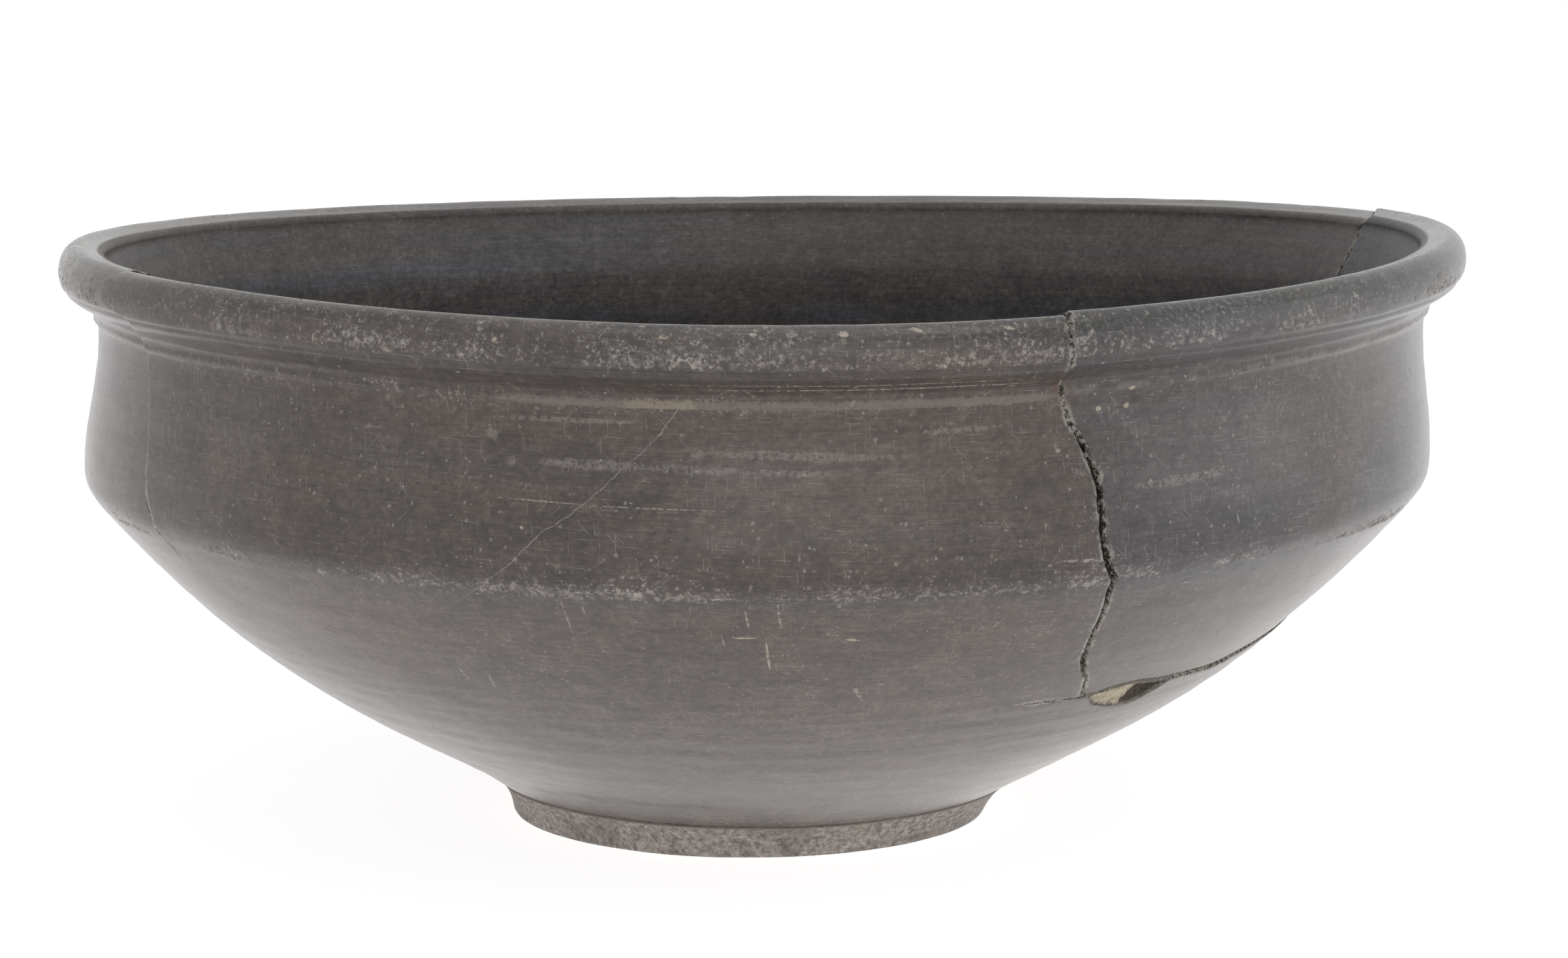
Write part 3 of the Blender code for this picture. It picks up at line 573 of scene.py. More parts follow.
    # The missing flake: depth grows from its outline, little under the cream clay, more at the right
    low_at = bowl.on_wall(along(FLAKE_LOW_SIDE, turned, 0) * MM)
    ragged = FLAKE_RAGGED * waves(turned * 1.7, 6.0, 0.8, 8, 51)
    in_flake = np.minimum((lengths - low_at) / MM + ragged, -lower_gap + 0.05)
    in_flake = np.minimum(in_flake, np.minimum(turned - FLAKE_FROM, FLAKE_TO - turned) * per_degree)
    in_flake = np.where(inside | (h > FLAKE_TOP), -3.0, in_flake)
    cream = ease((CREAM_END - CREAM_LEAN * (lengths - low_at) / MM - turned) * per_degree / 0.7 + 0.5
                 + 0.4 * waves(h, 4.0, 0.8, 6, 52))
    flake_depth = CREAM_DEPTH * cream + FLAKE_DEPTH * (1 - cream)
    flake_depth = flake_depth * (1 + 0.12 * rough(turned, lengths, 6 * MM, 1.0 * MM, 9, 53))
    depth = np.maximum(depth, flake_depth * ease(in_flake / (0.5 + 1.3 * (1 - cream))))

    # The turned ledge round the neck, chipped here and there
    from_ledge = (lengths - bowl.starts["neck"] - LEDGE_RISE) / LEDGE_HALF_WIDTH
    depth = depth - hump(np.clip(from_ledge, -1, 1)) * LEDGE_PROUD * (
        0.75 + 0.25 * rough(turned, lengths, 60 * MM, 9 * MM, 7, 61))

    # Crease where the roll of the lip was cut off below
    from_crease = (lengths - bowl.starts["lip_low"] - LIP_CREASE_AT) / LIP_CREASE_HALF_WIDTH
    depth = depth + hump(np.clip(from_crease, -1, 1)) * LIP_CREASE_DEPTH

    # Marks of the fingers and of the turning: long low ripples, and slow unevenness of the wall
    ripple = rough(turned * 0.2, lengths, 9 * MM, 3.5 * MM, 6, 71)
    depth = depth + FINGER_RIPPLE * ripple * (height > 12 * MM)
    depth = depth + WALL_UNEVENNESS * rough(turned, lengths, 120 * MM, 30 * MM, 9, 72)
    lip = ease((height - LIP_CHIPS_ABOVE) / (3 * MM))
    chips = np.clip(rough(turned, lengths, 14 * MM, 3 * MM, 9, 73) - 0.6, 0, None)
    depth = depth + LIP_CHIP_DEPTH * lip * chips

    radius = radius - depth * out
    height = height - depth * up

    # Sherds stand where they were glued
    upper = ease((height - BEND[1]) / (LIP_RISE + NECK[1] + WAIST[1]))
    right_sherd = ease(gaps["front"] / 0.3 + 0.5) * ease(0.5 - gaps["right"] / 0.3) * ease(
        lower_gap / 0.3 + 0.5) * (h > 30)
    from_joint = gaps["left"] / per_degree
    proud = ease(gaps["left"] / 0.22 + 0.5) * hump(np.clip(from_joint / FRONT_SHERD_REACH, 0, 1))
    behind = np.clip(np.where(from_joint > 180, from_joint - 360, from_joint), -LEFT_SHERD_REACH, 0)
    behind = np.where(turned > 160, (turned - 360) - along(LEFT_JOINT, h), behind)
    sunk = (1 - ease(gaps["left"] / 0.22 + 0.5)) * hump(np.clip(behind / LEFT_SHERD_REACH, -1, 0))
    sunk = np.where(turned > 160, hump(np.clip(behind / LEFT_SHERD_REACH, -1, 0)), sunk)
    radius = radius + right_sherd * SHERD_PROUD
    radius = radius + (proud * FRONT_SHERD_PROUD - sunk * LEFT_SHERD_SUNK) * upper
    height = height + right_sherd * SHERD_LIFT

    # The rim rises and falls, and the axis wanders
    angle = np.radians(turned)
    rise = sum(cosine * np.cos(times * angle) + sine * np.sin(times * angle)
               for times, cosine, sine in RIM_WAVE)
    top = bowl.height.max()
    height = height + rise * ease((height - WAVE_START) / (top - WAVE_START))
    x = radius * np.cos(angle) + np.interp(height, AXIS_HEIGHTS, AXIS_WANDER) + CENTRING
    points = np.stack([x * TRUE_UP, radius * np.sin(angle) * TRUE_UP,
                       np.clip(height * TRUE_UP, 0, None)], axis=2)

    nearest = np.minimum.reduce(list(edge.values()))
    facts = {
        "crack_edge": np.clip(nearest, -1.5, 6.0),
        "right_sherd": right_sherd,
        "flake": np.clip(in_flake, -3.0, 4.0),
        "cream": cream * (in_flake > -3),
        "inner": np.where(inside, 1.0, 0.0) * np.ones_like(radius),
        "joint": np.clip(gaps["left"], -20.0, 20.0),
        "hairline": np.clip((turned - along(HAIRLINE, h)) * per_degree, -20, 20) + 40.0 * inside,
    }
    return bowl, turned, lengths, points, facts


def closed_grid(name, turned, lengths, points, facts):
    """Mesh of a grid whose columns close round the axis and whose two ends close in a fan each.

    Each square joins column and row with the next ones, and the middle of a fan is the mean of its ring.
    Corner (column, row) gets the flat place (angle times ROUND_SCALE, length along the section), and
    the wheel place (cosine and sine of the angle times ROUND_SCALE, length along the section).
    """
    columns, rows = points.shape[:2]
    ends = np.array([[*points[:, 0, :2].mean(axis=0), points[:, 0, 2].mean()],
                     [*points[:, -1, :2].mean(axis=0), points[:, -1, 2].mean()]])
    vertices = np.concatenate([points.reshape(-1, 3), ends])
    c, r = np.meshgrid(np.arange(columns), np.arange(rows - 1), indexing="ij")
    after = (c + 1) % columns
    quads = np.stack([c * rows + r, after * rows + r, after * rows + r + 1, c * rows + r + 1], axis=2)
    quads = quads.reshape(-1, 4)
    first = np.arange(columns)
    following = (first + 1) % columns
    under = np.stack([np.full(columns, columns * rows), following * rows, first * rows], axis=1)
    over = np.stack([np.full(columns, columns * rows + 1), first * rows + rows - 1,
                     following * rows + rows - 1], axis=1)
    mesh = bpy.data.meshes.new(name)
    mesh.from_pydata(vertices.tolist(), [], quads.tolist() + under.tolist() + over.tolist())
    mesh.shade_smooth()

    flat = np.stack([np.radians(turned) * ROUND_SCALE, lengths], axis=2).reshape(-1, 2)
    flat = np.concatenate([flat, [[0.0, 0.0], [0.0, lengths.max()]]])
    corners = np.empty(len(mesh.loops), dtype=np.int64)
    mesh.loops.foreach_get("vertex_index", corners)
    places = flat[corners]
    # The last column's faces reach round to the first one, a whole turn further on
    face_of = np.repeat(np.arange(len(mesh.polygons)), [4] * len(quads) + [3] * (2 * columns))
    last = np.isin(face_of, np.concatenate([np.arange(len(quads) - (rows - 1), len(quads)),
                                            [len(quads) + columns - 1, len(quads) + 2 * columns - 1]]))
    wrapped = last & (corners < rows)
    places[wrapped, 0] += 2 * np.pi * ROUND_SCALE
    layer = mesh.uv_layers.new(name="turning")
    layer.data.foreach_set("uv", places.ravel().astype(np.float32))
    angles = np.radians(turned)
    round_wheel = np.stack([np.cos(angles) * ROUND_SCALE, np.sin(angles) * ROUND_SCALE, lengths],
                           axis=2).reshape(-1, 3)
    round_wheel = np.concatenate([round_wheel, [[0.0, 0.0, 0.0], [0.0, 0.0, lengths.max()]]])
    wheel = mesh.attributes.new("wheel", "FLOAT_VECTOR", "POINT")
    wheel.data.foreach_set("vector", round_wheel.ravel().astype(np.float32))
    for fact, values in facts.items():
        attribute = mesh.attributes.new(fact, "FLOAT", "POINT")
        ends = [values[:, 0].mean(), values[:, -1].mean()]
        attribute.data.foreach_set("value", np.concatenate([values.ravel(), ends]).astype(np.float32))
    return mesh


class Bench:
    """Lays nodes in one tree and joins them. Each call gives back an output of the new node."""

    def __init__(self, tree):
        self.tree = tree

    def put(self, kind, values=None, out=0, **settings):
        """New node of a kind, with its settings, and its sockets fed by outputs or plain values."""
        node = self.tree.nodes.new("ShaderNode" + kind)
        for name, setting in settings.items():
            setattr(node, name, setting)
        for socket, value in (values or {}).items():
            if isinstance(value, bpy.types.NodeSocket):
                self.tree.links.new(value, node.inputs[socket])
            else:
                node.inputs[socket].default_value = value
        return node.outputs[out]

    def sum(self, operation, *values):
        """Arithmetic on numbers."""
        return self.put("Math", dict(enumerate(values)), operation=operation)

    def vector(self, operation, *values, out=0):
        """Arithmetic on vectors."""
        return self.put("VectorMath", dict(enumerate(values)), out, operation=operation)

    def step(self, value, low, high, first=0.0, last=1.0):
        """Smooth step of a value between two limits, from a first to a last result."""
        return self.put("MapRange", {0: value, 1: low, 2: high, 3: first, 4: last},
                        interpolation_type="SMOOTHSTEP")

    def blend(self, share, first, second):
        """Colour between a first and a second one."""
        return self.put("Mix", {0: share, 6: first, 7: second}, 2, data_type="RGBA")

    def strongest(self, *masks):
        """Greatest of several masks."""
        total = masks[0]
        for mask in masks[1:]:
            total = self.sum("MAXIMUM", total, mask)
        return total

    def scaled(self, value, factor, added):
        """Value times a factor, plus what is added."""
        return self.sum("MULTIPLY_ADD", value, factor, added)

    def drawn(self, place, times):
        """Place whose third measure counts so many times, which draws a pattern out along the turning."""
        return self.put("Mapping", {"Vector": place, "Scale": (1.0, 1.0, times)})

    def product(self, *values):
        """All the values multiplied."""
        total = values[0]
        for value in values[1:]:
            total = self.sum("MULTIPLY", total, value)
        return total

    def noise(self, place, scale, detail=2.0, roughness=0.5, out="Fac"):
        """Cloudy noise at a place, with so many clouds per metre."""
        return self.put("TexNoise", {"Vector": place, "Scale": scale, "Detail": detail,
                                     "Roughness": roughness}, out)

    def fact(self, name):
        """Number kept at each point of the skin."""
        return self.put("Attribute", out="Fac", attribute_name=name)

    def wheel(self):
        """Place round the wheel: cosine and sine of the azimuth in metres, and length along the section."""
        return self.put("Attribute", out="Vector", attribute_name="wheel")

    def flat(self):
        """Place on the unrolled skin: metres round the wheel and metres along the section."""
        return self.put("UVMap", uv_map="turning")

    def place(self):
        """Place in the object, in metres."""
        return self.put("TexCoord", out="Object")

    def profile(self, stops):
        """Value read off along the section: straight lines between (length in metres, value)."""
        length = self.put("SeparateXYZ", {0: self.flat()}, 1)
        share = self.sum("DIVIDE", length, RAMP_LENGTH)
        ramp = self.tree.nodes.new("ShaderNodeValToRGB")
        stops = sorted(stops)
        for number, (at, value) in enumerate(stops):
            if number < 2:
                element = ramp.color_ramp.elements[number]
                element.position = at / RAMP_LENGTH
            else:
                element = ramp.color_ramp.elements.new(at / RAMP_LENGTH)
            element.color = (value, value, value, 1.0)
        self.tree.links.new(share, ramp.inputs[0])
        return ramp.outputs[0]

    def use(self, name, values, out=0):
        """Node group by its name, with its own values."""
        node = self.tree.nodes.new("ShaderNodeGroup")
        node.node_tree = bpy.data.node_groups[name]
        for socket, value in values.items():
            if isinstance(value, bpy.types.NodeSocket):
                self.tree.links.new(value, node.inputs[socket])
            else:
                node.inputs[socket].default_value = value
        return node.outputs if out is None else node.outputs[out]


def node_group(name, inputs, outputs, lay):
    """Shader node group with named sockets: kind and value of each input, kind of each output."""
    tree = bpy.data.node_groups.new(name, "ShaderNodeTree")
    for socket, (kind, value) in inputs.items():
        made = tree.interface.new_socket(socket, in_out="INPUT", socket_type="NodeSocket" + kind)
        if value is not None:
            made.default_value = value
    for socket, kind in outputs.items():
        tree.interface.new_socket(socket, in_out="OUTPUT", socket_type="NodeSocket" + kind)
    given = tree.nodes.new("NodeGroupInput").outputs
    taken = tree.nodes.new("NodeGroupOutput").inputs
    for socket, value in lay(Bench(tree), given).items():
        tree.links.new(value, taken[socket])


def lay_speckle(bench, given):
    """Grains: in cells of a size, a share hold a ragged dot, each of its own width."""
    cells = bench.tree.nodes.new("ShaderNodeTexVoronoi")
    bench.tree.links.new(given["Place"], cells.inputs["Vector"])
    bench.tree.links.new(given["Cells per metre"], cells.inputs["Scale"])
    chance = bench.put("SeparateColor", {0: cells.outputs["Color"]}, 0)
    width = bench.put("SeparateColor", {0: cells.outputs["Color"]}, 1)
    ragged = bench.noise(given["Place"], bench.sum("MULTIPLY", given["Cells per metre"], 2.6), 1.0)
    ragged = bench.scaled(ragged, 1.1, cells.outputs["Distance"])
    reach = bench.scaled(bench.product(width, given["Width"]), 0.75, 0.55)
    dot = bench.step(ragged, reach, bench.sum("MULTIPLY", reach, 0.72))
    return {"Mask": bench.product(dot, bench.sum("LESS_THAN", chance, given["Share"]))}


def lay_scratches(bench, given):
    """Fine straight scratches: cells drawn out along a heading, a share of them holding a thin line."""
    heading = bench.put("CombineXYZ", {2: given["Heading"]})
    turned = bench.put("Mapping", {"Vector": given["Flat place"], "Rotation": heading})
    size = bench.put("CombineXYZ", {0: given["Length"], 1: given["Spread"], 2: 1.0})
    cells = bench.tree.nodes.new("ShaderNodeTexVoronoi")
    cells.voronoi_dimensions = "2D"
    bench.tree.links.new(bench.vector("DIVIDE", turned, size), cells.inputs["Vector"])
    cells.inputs["Scale"].default_value = 1.0
    from_middle = bench.vector("SUBTRACT", bench.vector("DIVIDE", turned, size), cells.outputs["Position"])
    across = bench.sum("ABSOLUTE", bench.put("SeparateXYZ", {0: from_middle}, 1))
    length = bench.sum("ABSOLUTE", bench.put("SeparateXYZ", {0: from_middle}, 0))
    thin = bench.sum("DIVIDE", given["Width"], given["Spread"])
    line = bench.step(across, thin, bench.sum("MULTIPLY", thin, 0.3))
    ends = bench.step(length, 0.42, 0.2)
    chance = bench.put("SeparateColor", {0: cells.outputs["Color"]}, 0)
    return {"Mask": bench.product(line, ends, bench.sum("LESS_THAN", chance, given["Share"]))}


def lay_mark(bench, given):
    """One mark: an oval about its middle, its rim made ragged by a given value."""
    inside = bench.put("Mapping", {"Vector": given["Flat place"], "Location": given["Middle"],
                                   "Rotation": given["Turn"], "Scale": given["Half size"]},
                       vector_type="TEXTURE")
    far = bench.vector("LENGTH", inside, out="Value")
    return {"Mask": bench.step(bench.sum("ADD", far, given["Ragged"]), 1.15, 0.75)}


def lay_patches(bench, given):
    """Soft-edged patches: cloudy noise cut between two levels."""
    cloud = bench.noise(given["Place"], given["Patches per metre"], 2.0, 0.6)
    return {"Mask": bench.step(cloud, given["Low"], given["High"])}


def lay_frost(bench, given):
    """Granular bloom: fine noise, of which more passes where the amount is greater."""
    grain = bench.noise(given["Place"], given["Grains per metre"], 3.0, 0.72)
    low = bench.scaled(given["Amount"], -0.27, 0.69)
    return {"Mask": bench.step(grain, low, bench.sum("ADD", low, 0.13)), "Grain": grain}


def mark_value(bench, flat, ragged, marks, bowl):
    """The strongest of several marks, each (azimuth, height, azimuth, height, half width in mm)."""
    masks = []
    for first_azimuth, first_height, last_azimuth, last_height, half_width in marks:
        corners = ((first_azimuth, first_height), (last_azimuth, last_height))
        ends = np.array([[np.radians(azimuth) * ROUND_SCALE, bowl.on_wall(height * MM)]
                         for azimuth, height in corners])
        middle = ends.mean(axis=0)
        # Flat places are measured round a wheel of fixed radius, so true lengths are scaled to it
        wide = ROUND_SCALE / np.interp(middle[1], bowl.lengths, bowl.radius)
        reach = ends[1] - ends[0]
        half = max(0.5 * np.hypot(*reach), half_width * MM)
        masks.append(bench.use("mark", {
            "Flat place": flat, "Middle": (*middle, 0.0), "Ragged": ragged,
            "Turn": (0.0, 0.0, np.arctan2(reach[1], reach[0])),
            "Half size": (half * (wide if half < 1 * MM else 1.0), half_width * MM, 1.0)}))
    return bench.strongest(*masks)


def lay_ground(bowl):
    """Fired clay before any wear: brown-grey to blue-grey, with the lines of the turning, and painted shade
    under the lip.
    """
    def lay(bench, given):
        place, wheel = bench.place(), bench.wheel()
        start, end, bend, ledge, crease = bowl.marks()
        cloud = bench.noise(place, 24.0, 2.0, 0.55)
        mottle = bench.noise(place, 150.0, 3.0, 0.65)
        fleck = bench.noise(place, 700.0, 3.0, 0.7)
        turning = bench.noise(bench.drawn(wheel, 30.0), 26.0, 3.0, 0.72)
        brushed = bench.noise(bench.drawn(wheel, 9.0), 300.0, 2.0, 0.7)

        # Brown-grey clay, blue-grey where the smoke was kept, by sherd, by patch and by height
        blue_height = bench.profile([(start["lower_wall"], 0.0), (bend - 6 * MM, 0.1), (bend + 2 * MM, 0.8),
                                     (start["shoulder"] + 3 * MM, 0.4), (ledge, 0.1),
                                     (start["lip_low"], 0.2), (start["lip_high"], 0.7),
                                     (end["lip_high"], 0.4), (end["lip_top"], 0.3),
                                     (start["inner_shoulder"], 1.0), (end["floor"], 1.0)])
        blue_patch = bench.use("patches", {"Place": bench.drawn(wheel, 30.0), "Patches per metre": 4.0,
                                           "Low": 0.48, "High": 0.64})
        blue = bench.product(blue_height, bench.scaled(bench.fact("inner"), 0.3, 0.25))
        blue = bench.sum("ADD", blue, bench.product(blue_patch, blue_height))
        smoked = bench.profile([(bend - 9 * MM, 0.08), (bend + 1 * MM, 0.55), (end["floor"], 0.55)])
        blue = bench.scaled(bench.fact("right_sherd"), smoked, blue)
        colour = bench.blend(blue, BROWN_CLAY, BLUE_CLAY)
        warm = bench.use("patches", {"Place": place, "Patches per metre": 17.0, "Low": 0.52, "High": 0.72})
        colour = bench.blend(bench.product(warm, 0.4), colour, WARM_CLAY)

        # Lighter and darker by height, by cloud, by the lines of the turning and by grain
        # By height: darker in a band just above the bend, and painted shade under the lip, from above the
        # ledge up to its crease
        by_height = bench.profile([(start["foot_side"], 1.0), (start["lower_wall"] + 4 * MM, 1.02),
                                   (bend - 20 * MM, 0.98), (bend - 0.6 * MM, 0.96), (bend + 0.4 * MM, 0.8),
                                   (start["shoulder"] + 4 * MM, 0.9), (start["shoulder"] + 14 * MM, 1.04),
                                   (ledge - 2 * MM, 0.98), (ledge + 1.6 * MM, 0.86),
                                   (ledge + 2.2 * MM, 0.76), (crease - 0.2 * MM, 0.7),
                                   (crease + 0.2 * MM, 1.05),
                                   (start["lip_high"] + 0.5 * MM, 0.98), (start["lip_high"] + 3 * MM, 0.86),
                                   (end["lip_high"], 1.05), (end["lip_inner_edge"], 0.9),
                                   (start["inner_shoulder"], 1.24), (end["floor"], 1.06)])
        shade = bench.product(bench.scaled(cloud, 0.7, 0.69),
                              bench.scaled(mottle, 1.0, 0.49),
                              bench.scaled(turning, 0.8, 0.6),
                              bench.scaled(brushed, 1.1, 0.45),
                              bench.scaled(fleck, 1.5, 0.25), by_height)
        colour = bench.vector("SCALE", colour)
        bench.tree.links.new(shade, colour.node.inputs["Scale"])
        height = bench.scaled(turning, 0.5, bench.product(fleck, 0.35))
        height = bench.scaled(brushed, 0.2, height)
        return {"Colour": colour, "Height": height, "Cloud": cloud, "Mottle": mottle, "Fleck": fleck}
    return lay


def lay_ware(bowl):
    """Worn ware: smoke, bloom, scratches, marks and dirt on the ground, its gloss and its roughness."""
    def lay(bench, given):
        place, flat, wheel = bench.place(), bench.flat(), bench.wheel()
        start, end, bend, ledge, crease = bowl.marks()
        azimuth = bench.put("SeparateXYZ", {0: flat}, 0)
        length = bench.put("SeparateXYZ", {0: flat}, 1)
        degree = np.radians(1.0) * ROUND_SCALE
        inner = bench.fact("inner")
        outer = bench.sum("SUBTRACT", 1.0, inner)
        cloud, mottle, fleck = given["Cloud"], given["Mottle"], given["Fleck"]
        ragged_grain = bench.noise(flat, 900.0, 2.0)
        ragged = bench.scaled(ragged_grain, 1.4, -0.7)
        gaps = bench.noise(flat, 420.0, 2.0, 0.7)

        # Worn places: bloom of light grain, dense on the lip, the ledge and the bend
        wear_height = bench.profile([(start["foot_edge"], 0.5), (start["lower_wall"] + 3 * MM, 0.08),
                                     (bend - 6 * MM, 0.16), (bend - 0.5 * MM, 0.28), (bend - 0.1 * MM, 1.3),
                                     (bend + 1.2 * MM, 1.0), (bend + 3.5 * MM, 0.42),
                                     (start["shoulder"] + 6 * MM, 0.18), (ledge - 1.3 * MM, 0.14),
                                     (ledge - 1 * MM, 0.55), (ledge + 1 * MM, 0.5),
                                     (ledge + 1.5 * MM, 0.08), (crease - 0.1 * MM, 0.06),
                                     (crease + 0.1 * MM, 0.95),
                                     (start["lip_high"], 0.85), (start["lip_high"] + 2.5 * MM, 0.5),
                                     (end["lip_high"], 0.6), (end["lip_top"], 0.2),
                                     (start["inner_shoulder"], 0.05), (end["floor"], 0.04)])
        wear_patch = bench.use("patches", {"Place": place, "Patches per metre": 48.0,
                                           "Low": 0.34, "High": 0.64})
        wear = bench.product(wear_height, bench.scaled(wear_patch, 0.7, 0.5))
        frost = bench.use("frost", {"Place": place, "Grains per metre": 1150.0, "Amount": wear}, None)
        colour = bench.vector("SCALE", given["Colour"])
        grainy = bench.scaled(frost["Grain"], 0.9, 0.55)
        bench.tree.links.new(grainy, colour.node.inputs["Scale"])

        # Black smoke along the top of the lip and in soft streaks inside
        smoke_height = bench.profile([(start["lip_high"] - 0.5 * MM, 0.0),
                                      (start["lip_high"] + 2 * MM, 0.85),
                                      (end["lip_high"] - 1 * MM, 1.0), (end["lip_top"], 0.5),
                                      (end["lip_inner_edge"], 0.2), (end["inner_neck"], 0.15),
                                      (end["inner_shoulder"], 0.45), (end["floor"], 0.25)])
        smoke = bench.product(smoke_height, bench.use("patches", {
            "Place": bench.drawn(wheel, 24.0), "Patches per metre": 9.0, "Low": 0.4, "High": 0.58}))
        smoke = bench.product(smoke, bench.step(frost["Grain"], 0.62, 0.42))
        colour = bench.blend(smoke, colour, SMOKE)
        bloom = bench.product(frost["Mask"], bench.scaled(mottle, 1.9, -0.2))
        grains = bench.blend(bench.step(fleck, 0.42, 0.6), DULL_BLOOM, BRIGHT_BLOOM)
        colour = bench.blend(bloom, colour, grains)

        # Light flecks, more of them where it is worn, fewer inside
        flecks = bench.use("speckle", {"Place": place, "Cells per metre": 1150.0, "Width": 0.75,
                                       "Share": bench.scaled(wear, 0.5, 0.045)})
        flecks = bench.product(flecks, bench.scaled(inner, -0.6, 1.0),
                               bench.step(gaps, 0.2, 0.62))
        colour = bench.blend(flecks, colour, FLECK)

        # Ledge worn pale, most of it left of the front crack, cream in one stretch
        from_ledge = bench.sum("SUBTRACT", length, ledge)
        below = bench.step(bench.scaled(ragged, 0.2 * MM, from_ledge), -1.05 * MM, -0.85 * MM)
        above = bench.step(bench.scaled(ragged, 0.7 * MM, from_ledge), 1.1 * MM, 0.4 * MM)
        band = bench.product(below, above, bench.step(azimuth, -113 * degree, -107 * degree), outer)
        right_of = bench.step(azimuth, -70 * degree, -66 * degree)
        broken = bench.scaled(bench.step(bench.noise(flat, 170.0, 2.0), 0.46, 0.6), 0.6, 0.05)
        band = bench.product(band, bench.blend(right_of, WHITE, broken))
        band = bench.product(band, bench.step(frost["Grain"], 0.22, 0.52))
        creamy = bench.product(bench.step(azimuth, -101 * degree, -98.6 * degree),
                               bench.step(azimuth, -94.4 * degree, -95.0 * degree))
        pale = bench.blend(creamy, WORN_LEDGE, CREAMY_LEDGE)
        colour = bench.blend(bench.product(band, 0.85), colour, pale)

        # Fine scratches in four headings, then the marks that stand out
        lines = []
        for heading, reach, share in SCRATCH_HEADINGS:
            lines.append(bench.use("scratches", {"Flat place": flat, "Heading": heading, "Length": reach,
                                                 "Spread": 1.2 * MM, "Width": 0.07 * MM, "Share": share}))
        lines = bench.product(bench.strongest(*lines), bench.step(mottle, 0.36, 0.58), outer,
                              bench.step(gaps, 0.3, 0.55))
        colour = bench.blend(bench.product(lines, 0.8), colour, SCRATCH)
        frosty = bench.step(frost["Grain"], 0.38, 0.56)
        light = bench.product(mark_value(bench, flat, ragged, LIGHT_MARKS, bowl), frosty,
                              bench.step(gaps, 0.26, 0.44))
        hair = bench.scaled(gaps, 1.9, bench.sum("SUBTRACT", bench.fact("hairline"), 0.95))
        height_fade = bench.profile([(bend - 12 * MM, 0.0), (bend - 2 * MM, 0.6), (bend + 6 * MM, 1.0),
                                     (ledge - 1 * MM, 0.9), (ledge, 0.0)])
        hair = bench.product(bench.step(bench.sum("ABSOLUTE", hair), 0.17, 0.05), height_fade,
                             bench.step(ragged_grain, 0.3, 0.45))
        faint = bench.product(mark_value(bench, flat, ragged, FAINT_MARKS, bowl), frosty)
        light = bench.strongest(bench.product(light, 0.85), bench.product(faint, 0.34),
                                bench.product(hair, 0.75))
        colour = bench.blend(light, colour, LIGHT_MARK)
        cream = bench.product(mark_value(bench, flat, ragged, CREAM_MARKS, bowl),
                              bench.step(fleck, 0.36, 0.52))
        colour = bench.blend(bench.product(cream, 0.85), colour, CREAM_MARK)

        # Small dark pits, drawn out along the turning
        pits = bench.use("speckle", {"Place": bench.drawn(wheel, 3.2), "Cells per metre": 300.0,
                                     "Share": 0.1, "Width": 0.1})
        colour = bench.blend(bench.product(pits, 0.7), colour, PIT)

        # Dirt and wear beside the cracks, and the thin line of the left joint
        edge = bench.fact("crack_edge")
        beside = bench.product(bench.step(bench.scaled(ragged, 0.9, edge), 0.95, 0.25),
                               bench.step(fleck, 0.36, 0.54), bench.step(mottle, 0.44, 0.56))
        colour = bench.blend(bench.product(beside, 0.85), colour, CRACK_EDGE)
        stain_height = bench.profile([(ledge - 4 * MM, 0.0), (ledge - 1 * MM, 0.9), (ledge + 5 * MM, 0.8),
                                      (ledge + 7 * MM, 0.0)])
        stain = bench.product(bench.step(edge, 3.2, 0.3), stain_height, outer,
                              bench.step(fleck, 0.42, 0.58))
        colour = bench.blend(bench.product(stain, 0.75), colour, RUST_STAIN)
        joint = bench.sum("ABSOLUTE", bench.scaled(ragged, 0.1, bench.fact("joint")))
        joint = bench.product(bench.step(joint, 0.17, 0.05), bench.step(gaps, 0.3, 0.45),
                              bench.profile([(bend - 14 * MM, 0.0), (bend, 1.0), (end["inner_neck"], 1.0),
                                             (end["inner_shoulder"], 0.6)]))
        colour = bench.blend(bench.product(joint, 0.75), colour, JOINT_LINE)

        # Burnish: outside only, gone from worn places, stronger in some patches
        worn = bench.strongest(frost["Mask"], flecks, light)
        roughness = bench.scaled(worn, 0.3, bench.scaled(cloud, 0.24, 0.42))
        gloss = bench.product(bench.scaled(outer, 0.75, 0.05),
                              bench.sum("SUBTRACT", 1.0, worn),
                              bench.scaled(cloud, 0.8, 0.6))
        return {"Colour": colour, "Roughness": roughness, "Gloss": gloss}
    return lay


def finish_material(name, relief, lay):
    """Material whose Principled shader takes colour, roughness, height and wear from a lay of nodes."""
    material = bpy.data.materials.new(name)
    material.use_nodes = True
    tree = material.node_tree
    shader = tree.nodes["Principled BSDF"]
    bench = Bench(tree)
    looks = lay(bench)
    tree.links.new(looks["Colour"], shader.inputs["Base Color"])
    tree.links.new(looks["Roughness"], shader.inputs["Roughness"])
    bump = bench.put("Bump", {"Height": looks["Height"], "Distance": relief, "Strength": 1.0})
    tree.links.new(bump, shader.inputs["Normal"])
    shader.inputs["Metallic"].default_value = 0.0
    shader.inputs["IOR"].default_value = 1.4
    shader.inputs["Coat Roughness"].default_value = 0.2
    shader.inputs["Coat IOR"].default_value = 1.3
    if "Gloss" in looks:
        tree.links.new(looks["Gloss"], shader.inputs["Coat Weight"])
    return material


def lay_grey_ware(bench):
    """Whole skin: worn ware laid on fired clay, whose own height it keeps."""
    ground = bench.use("fired_clay_and_shade", {}, None)
    passed_on = {name: ground[name] for name in ("Colour", "Cloud", "Mottle", "Fleck")}
    ware = bench.use("worn_ware", passed_on, None)
    return {"Colour": ware["Colour"], "Roughness": ware["Roughness"], "Height": ground["Height"],
            "Gloss": ware["Gloss"]}


